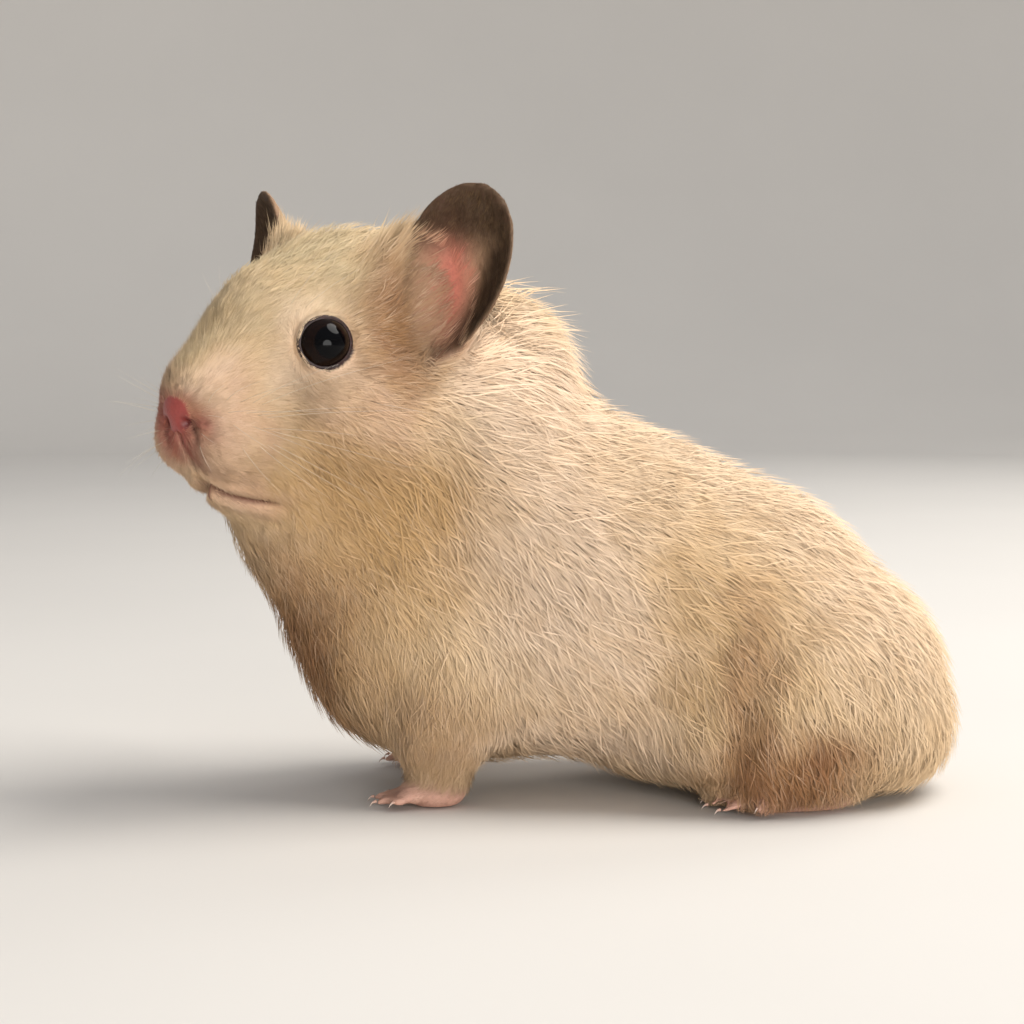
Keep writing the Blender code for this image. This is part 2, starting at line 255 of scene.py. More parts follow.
def read(items, field, width=1, kind=np.float32):
    """A field of every item in one of a mesh's lists, a row for each."""
    values = np.empty(len(items) * width, kind)
    items.foreach_get(field, values)
    if kind is np.float32:
        values = values.astype(float)
    return values.reshape(-1, width) if width > 1 else values


def points_of(mesh):
    return read(mesh.vertices, "co", 3)


def set_points(mesh, points):
    mesh.vertices.foreach_set("co", points.astype(np.float32).ravel())
    mesh.update()


def normals_of(mesh):
    return read(mesh.vertex_normals, "vector", 3)


def edges_of(mesh):
    return read(mesh.edges, "vertices", 2, np.int32)


def triangles_of(mesh):
    mesh.calc_loop_triangles()
    return read(mesh.loop_triangles, "vertices", 3, np.int32)


def tree_of(points, triangles):
    return BVHTree.FromPolygons(points.tolist(), triangles.tolist())


def read_attribute(mesh, name):
    layer = mesh.attributes[name]
    return read(layer.data, "vector", 3) if layer.data_type == "FLOAT_VECTOR" else read(layer.data, "value")


def add_attribute(mesh, name, values):
    values = np.asarray(values, np.float32)
    kind, field = ("FLOAT", "value") if values.ndim == 1 else ("FLOAT_VECTOR", "vector")
    mesh.attributes.new(name, kind, "POINT").data.foreach_set(field, values.ravel())


def unit(vectors):
    return vectors / np.maximum(np.linalg.norm(vectors, axis=-1, keepdims=True), 1e-12)


def relaxed(values, edges, rounds, strength=0.6):
    """Each value drawn towards the mean of its neighbours along the mesh's edges, that many times over."""
    values = np.array(values, float)
    ends = edges.ravel()
    count = np.maximum(np.bincount(ends, minlength=len(values)), 1)
    others = edges[:, ::-1].ravel()
    columns = values.reshape(len(values), -1)
    strength = np.broadcast_to(strength, len(values))
    for _ in range(rounds):
        for i in range(columns.shape[1]):
            mean = np.bincount(ends, weights=columns[others, i], minlength=len(values)) / count
            columns[:, i] += (mean - columns[:, i]) * strength
    return columns.reshape(values.shape)


def eased(x, low, high):
    """0 below low, 1 above high, and a smooth step between."""
    t = np.clip((x - low) / (high - low), 0, 1)
    return t * t * (3 - 2 * t)


def faded(x, low, high):
    """1 below low, 0 above high, and a smooth step between."""
    return eased(-x, -high, -low)


def bell(distance, width):
    return np.exp(-((distance / width) ** 2))


def into(frame_matrix, points):
    """Model points in a frame's own axes."""
    back = np.array(frame_matrix.inverted())
    return points @ back[:3, :3].T + back[:3, 3]


def out_of(frame_matrix, points):
    """A frame's points in the model's axes."""
    there = np.array(frame_matrix)
    return points @ there[:3, :3].T + there[:3, 3]


def turned(frame_matrix, ways):
    """Ways in a frame's axes, in the model's."""
    return ways @ np.array(frame_matrix)[:3, :3].T


def folded_in(frame_matrix, points):
    """Points in a frame's own axes, with the right side folded on the left."""
    local = into(frame_matrix, points)
    local[:, 1] = np.abs(local[:, 1])
    return local


def ear_frame(side):
    """The ear's axes run across it, up it and out of its opening. side is 1 for the left."""
    up = Vector((-math.sin(EAR_TILT_BACK), side * math.sin(EAR_TILT_OUT), 1)).normalized()
    opens = Vector((math.cos(EAR_OPENS_OUT), side * math.sin(EAR_OPENS_OUT), 0))
    opens = (opens - opens.project(up)).normalized()
    turn = Matrix((up.cross(opens), up, opens)).transposed().to_4x4()
    return HEAD @ Matrix.Translation((EAR_AT.x, side * EAR_AT.y, EAR_AT.z)) @ turn


def ear_places(points, side):
    """How far across (1 at the outer rim), up (1 at the tip) and in front of the ear's bowl each point is."""
    local = into(ear_frame(side), points)
    up = local[:, 1] / EAR_HALF_HEIGHT
    width = EAR_HALF_WIDTH * (1 + 0.16 * up - 0.12 * up**2)
    across = side * local[:, 0] / width
    bowl = -EAR_DEPTH * (1 - across**2 - up**2) * (1 - 0.3 * up)
    return across, up, local[:, 2] - bowl


def ear_opening(side):
    """The way that the ear's bowl faces."""
    return np.array(ear_frame(side).to_3x3().col[2])


def finish_piece(obj, material):
    """Shades the piece smooth, gives it its material and ties it to the model."""
    obj.data.materials.clear()
    obj.data.materials.append(material)
    select_only(obj)
    bpy.ops.object.shade_smooth()
    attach(obj, "root")
    return obj


# The skin.


def joined_flesh(swell):
    """Copies of the solids of flesh and of the eyes, swollen so that they close the cuts, in one object."""
    select_only(*(copy_of(frame["nodes"][name].data, "skin") for name in FLESH + ["eye_left", "eye_right"]))
    bpy.ops.object.join()
    with editing():
        bpy.ops.mesh.remove_doubles(threshold=1e-6)
        bpy.ops.transform.shrink_fatten(value=swell)
    return newest("skin")


def nearest_parts(points):
    """For each point, the name of the solid of flesh whose surface is nearest."""
    corners, faces, owners = [], [], []
    for name in FLESH:
        mesh = frame["nodes"][name].data
        faces.append(triangles_of(mesh) + sum(len(c) for c in corners))
        corners.append(points_of(mesh))
        owners += [name] * len(faces[-1])
    tree = tree_of(np.vstack(corners), np.vstack(faces))
    return np.array([owners[tree.find_nearest(p)[2]] for p in points.tolist()])


def mirrored_guides():
    """The places, ways, lengths and depths of the coat's lie on both sides, in the model's axes."""
    rows = []
    for frame_matrix, table in ((HEAD, HEAD_LIE), (BODY, BODY_LIE)):
        for place, way, length, depth in table.values():
            for side in (1, -1):
                flip = np.array((1, side, 1))
                at = out_of(frame_matrix, np.array([place]) * flip * MM)[0]
                way_here = turned(frame_matrix, unit(np.array(way)) * flip)
                rows.append((*at, *way_here, length * MM, depth * MM))
    return np.array(rows)


def lie_of_coat(points, parts, edges):
    """The way of the hairs, their length and the coat's depth at each point of the skin."""
    guides = mirrored_guides()
    gap = ((points[:, None, :] - guides[None, :, :3]) ** 2).sum(axis=2)
    weight = 1 / (gap + (2.5 * MM) ** 2) ** 2
    values = weight @ guides[:, 3:] / weight.sum(axis=1, keepdims=True)
    for part in FLESH:
        kind, _, side = part.partition("_")
        if kind not in DOWN:
            continue
        length, depth, way = DOWN[kind]
        if kind == "ear":
            way = ear_frame(SIDES[side]).to_3x3().col[1]
        values[parts == part] = (*unit(np.array(way)), length * MM, depth * MM)
    values = relaxed(values, edges, 6)
    for side in SIDES.values():
        across, up, front = ear_places(points, side)
        sheet = faded(np.hypot(across, up), 1.05, 1.35) * faded(np.abs(front), 2 * MM, 4 * MM)
        values[:, 4] += (np.minimum(values[:, 4], EAR_COAT) - values[:, 4]) * sheet
    return values


def hollow_ears(points):
    """Opens the ear's bowl down to its root and gives its rear rim a curl and its bowl a few low ribs."""
    for side in SIDES.values():
        across, up, front = ear_places(points, side)
        reach = np.hypot(across, up)
        opens = ear_opening(side)
        inside = (front > -0.2 * EAR_WALL) & (front < 9 * MM)
        extra = np.maximum(front - EAR_WALL * 0.4, 0)
        push = np.minimum(extra, 4.5 * MM) * faded(reach, 0.8, 1.02) * inside
        points = points - push[:, None] * opens
        curl = 1.2 * MM * eased(across, 0.5, 1.0) * eased(up, -0.9, -0.3) * faded(up, 0.3, 0.9)
        ribs = 0.18 * MM * np.cos(across * 9 + up * 2) * faded(reach, 0.4, 0.9)
        sheet = np.abs(front) < 1.5 * MM
        points = points + ((curl + ribs) * sheet)[:, None] * opens
    return points


def gaze_of(side):
    return unit(turned(HEAD, GAZE * (1, side, 1)))


def round_the_eye(points, name):
    """How far each point is from that eyeball's middle, and its angle from where the eye looks, in degrees.

    The angle runs faster above, below and behind, where the lids close over more of the eyeball."""
    side = SIDES[name]
    out = points - np.array(middle("eye_" + name))
    far = np.linalg.norm(out, axis=1)
    gaze = gaze_of(side)
    facing = np.clip((out @ gaze) / np.maximum(far, 1e-9), -1, 1)
    aside = unit(out - (out @ gaze)[:, None] * gaze)
    low_back = unit(turned(HEAD, np.array((-0.8, 0.3 * side, -0.55))))
    narrower = 9 * (aside @ np.array(UPWARD)) ** 2 + 12 * np.maximum(aside @ low_back, 0) ** 2
    return far, np.degrees(np.arccos(facing)) + narrower


def open_eyes(points):
    """Makes the lids: a soft rim over the eyeball, and the skin inside it sunk under the eyeball."""
    sunk, rim_at = EYE_RADIUS * 0.84, LID_ANGLE + 9
    for name in SIDES:
        centre = np.array(middle("eye_" + name))
        far, angle = round_the_eye(points, name)
        lid = EYE_RADIUS + 0.34 * MM * bell(angle - rim_at, 9)
        wanted = sunk + (lid - sunk) * eased(angle, LID_ANGLE - 5, LID_ANGLE + 5)
        most = EYE_RADIUS + (0.34 + 0.07 * (angle - rim_at)) * MM
        wanted = np.where(angle > LID_ANGLE + 12, np.clip(far, lid, np.maximum(lid, most)), wanted)
        near = faded(far, EYE_RADIUS * 1.4, EYE_RADIUS * 1.9) * faded(angle, LID_ANGLE + 12, LID_ANGLE + 22)
        aim = centre + (points - centre) * (wanted / np.maximum(far, 1e-9))[:, None]
        points = points + (aim - points) * near[:, None]
        far, angle = round_the_eye(points, name)
        least = np.where(angle > LID_ANGLE + 3, EYE_RADIUS + 0.3 * MM, 0)
        points = centre + (points - centre) * (np.maximum(far, least) / np.maximum(far, 1e-9))[:, None]
    return points


def from_pad(folded):
    """How far each place is from the middle of the nose's pad, which is a little wider than high."""
    return np.linalg.norm((folded - NOSE_PAD) * (0.8, 0.95, 1.1), axis=1)


def from_mouth(folded):
    """How far each place is above the line of the mouth, and whether it is on the muzzle."""
    gap = folded[:, 2] - np.interp(folded[:, 1], MOUTH_OUT, MOUTH_UP)
    return gap, eased(folded[:, 0], 0, 2 * MM) * faded(folded[:, 1], 3.9 * MM, 5.6 * MM)


def mouth_gape(folded):
    """Half the height of the mouth's line, which is widest in the middle."""
    return (0.4 + 0.55 * faded(folded[:, 1], 2 * MM, 4.5 * MM)) * MM


def shape_muzzle(points, normals):
    """Cuts the nostrils, the cleft under the nose and the mouth, and rounds the lips beside them."""
    folded = folded_in(HEAD, points)
    forward, side, up = folded.T
    ahead, out, above = (folded - NOSTRIL).T
    comma = np.stack((ahead * 0.4, out * 1.1, above * 1.3 + 0.5 * out), axis=1)
    sink = 1.5 * MM * bell(np.linalg.norm(comma, axis=1), 0.9 * MM)
    wing = np.stack((out - 1.0 * MM - 0.25 * (above + 1.2 * MM), above * 0.45 + 0.6 * MM))
    sink += 0.45 * MM * bell(np.linalg.norm(wing, axis=0), 0.6 * MM) * (forward > 9 * MM)
    cleft = bell(side, 0.34 * MM) * eased(forward, 7 * MM, 9 * MM)
    sink += 0.55 * MM * cleft * eased(up, -17.4 * MM, -16.6 * MM) * eased(-up, 10.2 * MM, 11.2 * MM)
    lips, here = from_mouth(folded)
    rounding = 0.3 * MM * bell(np.abs(lips) - 1.6 * MM, 0.6 * MM)
    sink += (1.5 * MM * bell(lips, mouth_gape(folded)) - rounding) * here
    pad = from_pad(folded)
    sink -= 0.2 * MM * bell(pad, 2.4 * MM)
    sink += 0.16 * MM * bell(pad - 2.9 * MM, 0.45 * MM) * (up > -12 * MM)
    return points - normals * sink[:, None]


def fold_haunches(points, normals):
    """Draws the skin in along the front of each haunch, and a little over the nape."""
    folded = folded_in(BODY, points)
    near = np.full(len(points), np.inf)
    for start, end in zip(HAUNCH_FOLD[:-1], HAUNCH_FOLD[1:]):
        way = end - start
        t = np.clip((folded - start) @ way / (way @ way), 0, 1)
        near = np.minimum(near, np.linalg.norm(folded - start - t[:, None] * way, axis=1))
    sink = 1.5 * bell(near, 2.4 * MM) - 0.35 * bell(near - 5 * MM, 2.5 * MM)
    nape = np.linalg.norm((into(BODY, points) - NAPE) * (1, 0.7, 1), axis=1)
    sink += 2.0 * faded(nape, 5 * MM, 14 * MM)
    return points - normals * (sink * MM)[:, None]


def select_where(body, kind, mask):
    """Selects only the masked ones of a mesh's faces or points. kind is FACE or VERT."""
    select_only(body)
    with editing("DESELECT", kind):
        pass
    items = body.data.polygons if kind == "FACE" else body.data.vertices
    items.foreach_set("select", mask)


def subdivide_where(body, chosen):
    """Cuts each chosen face in four. chosen takes the faces' middles and gives a mask."""
    select_where(body, "FACE", chosen(read(body.data.polygons, "center", 3)))
    with editing(None):
        bpy.ops.mesh.subdivide(number_cuts=1, smoothness=0)


def from_eye(points):
    """How far each point is from the middle of the nearer eyeball."""
    return np.minimum(*(np.linalg.norm(points - np.array(middle("eye_" + name)), axis=1) for name in SIDES))


def near_face(points):
    """Where the finer modelling is: round the eyes, the nose and the mouth."""
    forward, side, up = folded_in(HEAD, points).T
    muzzle = (forward > 2 * MM) & (up < -4.5 * MM) & (side < 8 * MM)
    return (from_eye(points) < 5.8 * MM) | muzzle


def near_lids(points):
    return from_eye(points) < 4.9 * MM


def near_nose(points):
    forward, side, up = folded_in(HEAD, points).T
    return (forward > 4 * MM) & (up < -5.5 * MM) & (side < 6.5 * MM) & (up > -21 * MM)


def paint_parts(body, parts):
    """Masks on the skin: the ears, their dark and pink places, paws, the nose's pad, lids, and the painted
    shade of nostrils and mouth.
    """
    mesh = body.data
    points, edges, normals = points_of(mesh), edges_of(mesh), normals_of(mesh)
    folded = folded_in(HEAD, points)
    ear = np.char.startswith(parts, "ear").astype(float)
    bowl, dark, pink = np.zeros((3, len(points)))
    for side in SIDES.values():
        across, up, front = ear_places(points, side)
        facing = eased(normals @ ear_opening(side), -0.1, 0.35)
        reach = np.hypot(across, up)
        inside = facing * (reach < 0.98) * (np.abs(front) < 2.4 * MM)
        bowl = np.maximum(bowl, inside)
        rear_rim = eased(across, 0.2, 0.55) * eased(up, -0.9, -0.6)
        shaded = np.maximum(eased(up - 0.25 * across, 0.1, 0.5), rear_rim)
        dark = np.maximum(dark, inside * shaded * 0.9)
        back = (1 - facing) * (reach < 1.15) * (np.abs(front) < 2.4 * MM)
        dark = np.maximum(dark, back * eased(up, 0.3, 1.1) * 0.3)
        warm = bell(np.hypot((across + 0.1) * 1.2 + (up + 0.1) * 0.7, (up + 0.1) * 0.8), 0.42)
        pink = np.maximum(pink, inside * warm)
    feet = np.isin(parts, [part for part in FLESH if part.startswith(("forepaw", "hindfoot", "tail"))])
    pad = from_pad(folded)
    hole = bell(np.linalg.norm((folded - NOSTRIL) * (0.4, 1, 1.1), axis=1), 1.15 * MM)
    cleft = bell(folded[:, 1], 0.35 * MM) * (folded[:, 0] > 7 * MM) * eased(-folded[:, 2], 10 * MM, 11 * MM)
    gap, here = from_mouth(folded)
    mouth = bell(gap, mouth_gape(folded)) * here
    lid = np.zeros(len(points))
    for name in SIDES:
        far, angle = round_the_eye(points, name)
        on_ball = faded(far, EYE_RADIUS + 0.5 * MM, EYE_RADIUS + 0.7 * MM)
        lid = np.maximum(lid, faded(angle, LID_ANGLE + 7, LID_ANGLE + 12) * on_ball)
    masks = {
        "ear": relaxed(np.maximum(ear, bowl), edges, 2) * 0.8,
        "dark": relaxed(dark, edges, 3),
        "pink": relaxed(pink, edges, 3),
        "bare": relaxed(feet.astype(float), edges, 4),
        "wet": faded(pad, 2.2 * MM, 2.9 * MM),
        # Painted shade: the openings of the nostrils, the cleft under the nose and the mouth's line are
        # darkened.
        "crease": np.maximum(hole, 0.8 * np.maximum(cleft, mouth)),
        "lid": lid,
    }
    for name, mask in masks.items():
        add_attribute(mesh, name, mask)


def keep_outer_shell(body):
    """Deletes every shell but the one that holds the highest point."""
    height = points_of(body.data)[:, 2]
    select_where(body, "VERT", np.arange(len(height)) == height.argmax())
    with editing(None):
        bpy.ops.mesh.select_linked()
        bpy.ops.mesh.select_all(action="INVERT")
        bpy.ops.mesh.delete(type="VERT")
        bpy.ops.mesh.select_all(action="SELECT")
        bpy.ops.mesh.normals_make_consistent(inside=False)


def softened(points, parts, edges):
    """The remeshed flesh with its joints melted together, and its thin ears and toes nearly as they were."""
    fine = np.isin(parts, [part for part in FLESH if part.startswith(("ear", "forepaw", "hindfoot", "nose"))])
    strength = relaxed(np.where(fine, 0.12, 0.75), edges, 3)
    for _ in range(7):
        points = relaxed(points, edges, 1, strength)
        points = relaxed(points, edges, 1, -strength * 0.8)
        points = relaxed(points, edges, 1, strength)
    return points


def ways_round_eyes(points, ways):
    """The hairs' ways, parted in front of the eyes and led round them."""
    for name in SIDES:
        out = points - np.array(middle("eye_" + name))
        far = np.linalg.norm(out, axis=1)
        close = faded(far, 1.2 * EYE_RADIUS, 2.1 * EYE_RADIUS)[:, None]
        inward = np.minimum((ways * unit(out)).sum(axis=1), 0)[:, None]
        ways = unit(ways + unit(out) * (0.4 - inward) * close)
    return ways


def make_skin(sizes):
    """The one skin, shaped, marked for its coat and unwrapped."""
    body = joined_flesh(sizes.swell)
    apply_modifier(body, "REMESH", mode="VOXEL", voxel_size=sizes.grain)
    keep_outer_shell(body)
    mesh = body.data
    points, edges = points_of(mesh), edges_of(mesh)
    parts = nearest_parts(points)
    points = softened(points, parts, edges)
    set_points(mesh, points)
    lie = lie_of_coat(points, parts, edges)
    points = points - normals_of(mesh) * (lie[:, 4] + sizes.swell)[:, None]
    points = fold_haunches(points, normals_of(mesh))
    set_points(mesh, hollow_ears(relaxed(points, edges, 2, 0.4)))
    for chosen in (near_face, near_nose, near_lids):
        subdivide_where(body, chosen)
    mesh = body.data
    set_points(mesh, relaxed(points_of(mesh), edges_of(mesh), 2, 0.5))
    points = open_eyes(shape_muzzle(points_of(mesh), normals_of(mesh)))
    points[:, 2] = np.maximum(points[:, 2], 0)
    set_points(mesh, points)
    select_only(body)
    with editing():
        bpy.ops.mesh.quads_convert_to_tris()
        bpy.ops.mesh.dissolve_degenerate(threshold=1e-7)
        bpy.ops.uv.smart_project(angle_limit=math.radians(75), island_margin=0.002)
    mesh.uv_layers.active.name = "OFBake"
    points, edges = points_of(mesh), edges_of(mesh)
    parts = nearest_parts(points)
    lie = lie_of_coat(points, parts, edges)
    add_attribute(mesh, "way", ways_round_eyes(points, unit(lie[:, :3])))
    add_attribute(mesh, "length", lie[:, 3])
    add_attribute(mesh, "depth", lie[:, 4])
    paint_parts(body, parts)
    return body, parts


# Materials.


class Board:
    """A node tree, and the few kinds of node that this model's materials are made of."""

    def __init__(self, tree):
        self.tree = tree

    def add(self, kind, inputs=None, **settings):
        node = self.tree.nodes.new(kind)
        count = len(self.tree.nodes)
        node.location = (200 * (count % 10), -260 * (count // 10))
        for name, value in settings.items():
            setattr(node, name, value)
        self.feed(node, inputs or {})
        return node

    def feed(self, node, inputs):
        """Sets the node's inputs, or links the outputs that are given for them."""
        for key, value in inputs.items():
            if isinstance(value, bpy.types.NodeSocket):
                self.tree.links.new(value, node.inputs[key])
            else:
                node.inputs[key].default_value = value

    def math(self, operation, a, b=0.0):
        return self.add("ShaderNodeMath", {0: a, 1: b}, operation=operation).outputs[0]

    def vector(self, operation, a, b=(0, 0, 0)):
        node = self.add("ShaderNodeVectorMath", {0: a, 1: b}, operation=operation)
        return node.outputs[1 if operation in ("LENGTH", "DISTANCE", "DOT_PRODUCT") else 0]

    def step(self, value, low, high, least=0.0, most=1.0):
        """least below low, most above high, and smooth between."""
        inputs = {0: value, 1: low, 2: high, 3: least, 4: most}
        return self.add("ShaderNodeMapRange", inputs, interpolation_type="SMOOTHSTEP").outputs[0]

    def blend(self, factor, a, b, way="MIX"):
        """From colour a at factor 0 to colour b at 1."""
        a, b = (value if isinstance(value, bpy.types.NodeSocket) else (*value[:3], 1) for value in (a, b))
        return self.add("ShaderNodeMix", {0: factor, 6: a, 7: b}, data_type="RGBA", blend_type=way).outputs[2]

    def noise(self, place, scale, detail=2.0, roughness=0.5):
        inputs = {"Vector": place, "Scale": scale, "Detail": detail, "Roughness": roughness}
        return self.add("ShaderNodeTexNoise", inputs).outputs[0]

    def place(self):
        return self.add("ShaderNodeTexCoord").outputs["Object"]

    def attribute(self, name):
        return self.add("ShaderNodeAttribute", attribute_name=name).outputs["Fac"]


def new_material(name, **settings):
    """A material with its board and its Principled shader, set as given."""
    material = bpy.data.materials.new(name)
    material.use_nodes = True
    shader = material.node_tree.nodes["Principled BSDF"]
    for key, value in settings.items():
        shader.inputs[key.replace("_", " ")].default_value = value
    return material, Board(material.node_tree), shader


# The coat's markings: the axes, the middle and half-sizes in mm, the strength, and which of the colours.
# Some markings are painted shade or painted light, as said at each.
MARKINGS = {
    "back": ("body", (20, 0, 44), (40, 16, 16), 0.5, "white"),
    "rump": ("body", (42, 12, 26), (16, 14, 16), 0.5, "white"),
    "flank": ("body", (20, 20, 22), (14, 8, 14), 0.45, "tan"),
    # Painted shade in the fold before the haunch.
    "crease": ("body", (24, 21, 15), (4, 8, 13), 0.6, "brown"),
    # Painted shadow: the low haunch darkened to brown where it meets the floor.
    "low haunch": ("body", (30, 22, 4), (15, 10, 7), 1.0, "brown"),
    "side of neck": ("body", (-17, 17, 36), (13, 10, 10), 0.9, "tan"),
    "breast": ("body", (-24, 8, 24), (12, 16, 14), 0.55, "tan"),
    "nape": ("body", (-3, 10, 52), (12, 14, 10), 0.9, "white"),
    "shoulder": ("body", (0, 18, 34), (12, 9, 16), 0.9, "white"),
    "barrel": ("body", (4, 20, 20), (11, 8, 12), 0.8, "white"),
    # The belly's pale fur, made paler still as painted bounce light from the floor on the shaded underside.
    "belly": ("body", (4, 14, 8), (14, 12, 6), 0.9, "white"),
    # Painted shade: the chest's own tan darkened to brown, as if the front lay in shade.
    "chest": ("body", (-32, 4, 18), (10, 17, 22), 0.95, "brown"),
    "foreleg": ("body", (-15, 18, 8), (9, 9, 9), 0.5, "brown"),
    "crown": ("head", (-5, 0, 9), (14, 13, 11), 0.85, "straw"),
    "snout": ("head", (10, 0, 1), (10, 6, 6), 0.6, "straw"),
    "eye ring": ("head", (1.5, 9.5, -1), (6, 6, 6), 0.75, "white"),
    "cheek": ("head", (-4, 13, -9), (9, 7, 7), 0.6, "blush"),
    "jaw": ("head", (-1, 9, -17), (9, 9, 7), 0.75, "tan"),
    "behind eye": ("head", (-6, 14, -1), (5, 5, 5), 0.55, "brown"),
    # The darker fur before the ear, with painted shade at the mouth of the ear.
    "before ear": ("head", (-9, 15, 4), (7.5, 7, 10), 0.85, "brown"),
    "behind ear": ("head", (-22, 19, -3), (8, 9, 8), 0.9, "white"),
    "muzzle": ("head", (12, 4, -10), (6.5, 6.5, 8), 0.8, "blush"),
    "side of nose": ("head", (12.5, 4.6, -4), (3.5, 2.6, 4), 0.4, "white"),
    "lips": ("head", (7, 3, -18), (5.5, 5, 2.4), 0.6, "blush"),
    "nose": ("head", (15, 2.2, -10), (3.5, 3.8, 4.3), 0.9, "nose"),
}
# The masks that the skin and the coat carry, each with the colour that it brings, the strongest last.
MASKS = {"Ear": "ear", "Pink": "pink", "Dark": "dark", "Bare": "paw"}
# How far the markings' edges wander.
MARKING_DRIFT = 8 * MM


def markings_group(colours):
    """The node group of the coat's colours: the hairs' tips and what lies under them."""
    group = bpy.data.node_groups.new("Coat markings", "ShaderNodeTree")
    for name in MASKS:
        group.interface.new_socket(name, in_out="INPUT", socket_type="NodeSocketFloat")
    for name in ("Tips", "Under"):
        group.interface.new_socket(name, in_out="OUTPUT", socket_type="NodeSocketColor")
    board = Board(group)
    given = board.add("NodeGroupInput").outputs
    place = board.place()
    drift = board.add("ShaderNodeTexNoise", {"Vector": place, "Scale": 160, "Detail": 1}).outputs["Color"]
    drift = board.vector("SUBTRACT", drift, (0.5, 0.5, 0.5))
    place = board.vector("ADD", place, board.vector("MULTIPLY", drift, (MARKING_DRIFT,) * 3))
    folded = {}
    for name, axes in AXES.items():
        inputs = {"Vector": place, "Location": axes.to_translation(), "Rotation": axes.to_euler()}
        local = board.add("ShaderNodeMapping", inputs, vector_type="TEXTURE").outputs[0]
        parts = board.add("ShaderNodeSeparateXYZ", {0: local}).outputs
        side = board.math("ABSOLUTE", parts[1])
        folded[name] = board.add("ShaderNodeCombineXYZ", {0: parts[0], 1: side, 2: parts[2]}).outputs[0]
    colour = colours.cream
    for axes, at, radii, strength, shade in MARKINGS.values():
        away = board.vector("SUBTRACT", folded[axes], tuple(c * MM for c in at))
        away = board.vector("DIVIDE", away, tuple(r * MM for r in radii))
        mask = board.step(board.vector("LENGTH", away), 0.25, 1.5, strength, 0.0)
        colour = board.blend(mask, colour, getattr(colours, shade))
    mottle = board.noise(place, 260, 1)
    colour = board.blend(board.step(mottle, 0.35, 0.75, 0.0, 0.2), colour, colours.tan)
    for name, shade in MASKS.items():
        colour = board.blend(given[name], colour, getattr(colours, shade))
    under = board.blend(0.08, colour, colours.blush, "MULTIPLY")
    board.add("NodeGroupOutput", {"Tips": colour, "Under": under})
    return group


def marked(board, group):
    """The markings placed in a material, with the masks that the mesh carries."""
    node = board.add("ShaderNodeGroup", node_tree=group)
    board.feed(node, {name: board.attribute(name.lower()) for name in MASKS})
    return node.outputs["Tips"], node.outputs["Under"]


def skin_material(group, colours):
    """Bare skin under the coat: its markings, pores, and a dark red painted as shade in the nostrils and the
    mouth.
    """
    material, board, shader = new_material("Skin", Roughness=0.62, Specular_IOR_Level=0.35)
    _, under = marked(board, group)
    place = board.place()
    lids = board.attribute("lid")
    colour = board.blend(board.attribute("wet"), under, colours.nose)
    # Painted shade in the nostrils, the cleft under the nose and the mouth.
    colour = board.blend(board.attribute("crease"), colour, colours.crease)
    colour = board.blend(lids, colour, colours.lid)
    pores = board.noise(place, 2600, 3, 0.65)
    # Pores speckled darker with the same colour.
    colour = board.blend(board.step(pores, 0.4, 0.7, 0.0, 0.2), colour, colours.crease)
    wrinkles = board.noise(place, 900, 4, 0.6)
    height = board.math("ADD", pores, board.math("MULTIPLY", wrinkles, 1.6))
    bump = board.add("ShaderNodeBump", {"Strength": 0.35, "Distance": 0.0002, "Height": height})
    gloss = board.math("MAXIMUM", board.attribute("wet"), lids)
    rough = board.step(gloss, 0, 1, 0.62, 0.38)
    board.feed(shader, {"Base Color": colour, "Roughness": rough, "Normal": bump.outputs[0]})
    return material


def coat_material(group, colours):
    """Hair: dull and warm at the root, paler along its length, each tuft its own shade."""
    material, board, shader = new_material("Coat", Roughness=0.7, Specular_IOR_Level=0.3)
    tips, under = marked(board, group)
    along = board.attribute("along")
    shade = board.attribute("shade")
    colour = board.blend(board.step(along, 0.0, 0.75), under, tips)
    colour = board.blend(board.step(shade, 0.0, 0.5, 0.14, 0.0), colour, colours.tan)
    pale = board.math("SUBTRACT", board.step(shade, 0.5, 1.0, 0.0, 0.3), board.attribute("dark"))
    colour = board.blend(board.math("MAXIMUM", pale, 0.0), colour, colours.white)
    board.feed(shader, {"Base Color": colour, "Roughness": board.step(shade, 0, 1, 0.62, 0.8)})
    return material


def eye_material(colours):
    """A wet, nearly black eye: a dark brown iris round a black pupil, under a clear gloss."""
    material, board, shader = new_material("Eye", Roughness=0.06, IOR=1.34, Specular_IOR_Level=0.2)
    gaze = board.attribute("gaze")
    iris = board.noise(board.place(), 1800, 3, 0.7)
    brown = board.blend(iris, (0.002, 0.0015, 0.0015), colours.eye)
    colour = board.blend(board.step(gaze, 0.8, 0.86), brown, (0.0015, 0.0015, 0.002))
    colour = board.blend(board.step(gaze, 0.25, 0.5), (0.01, 0.006, 0.005), colour)
    board.feed(shader, {"Base Color": colour})
    return material


def horn_material(name, colour, tip, roughness):
    """Whiskers and claws: paler towards the tip, with a faint grain."""
    material, board, shader = new_material(name, Roughness=roughness, Specular_IOR_Level=0.4)
    along = board.step(board.attribute("along"), 0.1, 0.9)
    grain = board.noise(board.place(), 2500, 2)
    shade = board.blend(along, colour, tip)
    shade = board.blend(board.step(grain, 0.4, 0.7, 0.0, 0.15), shade, colour)
    rough = board.step(grain, 0.2, 0.8, roughness - 0.06, roughness + 0.06)
    board.feed(shader, {"Base Color": shade, "Roughness": rough})
    return material


# The coat.


# The share of its length times its width that a tuft covers.
TUFT_FILLS = 0.5
# How far tufts swing from the lie of the coat, in radians: each alone, each lock, and those that stray.
SWING, LOCK_SWING, STRAY_SWING = 0.13, 0.12, 0.35
# How high tips rise, in the coat's depths: the least, a lock's share and a tuft's own. Strays rise more.
LEAST_RISE, LOCK_RISE, OWN_RISE, STRAY_RISE = 0.66, 0.16, 0.28, 1.9
# How much of a tuft's shade is its own, and how much its lock's.
OWN_SHADE, LOCK_SHADE = 0.55, 0.45


def tuft_width(length, sizes):
    return sizes.width + sizes.width_per_length * length


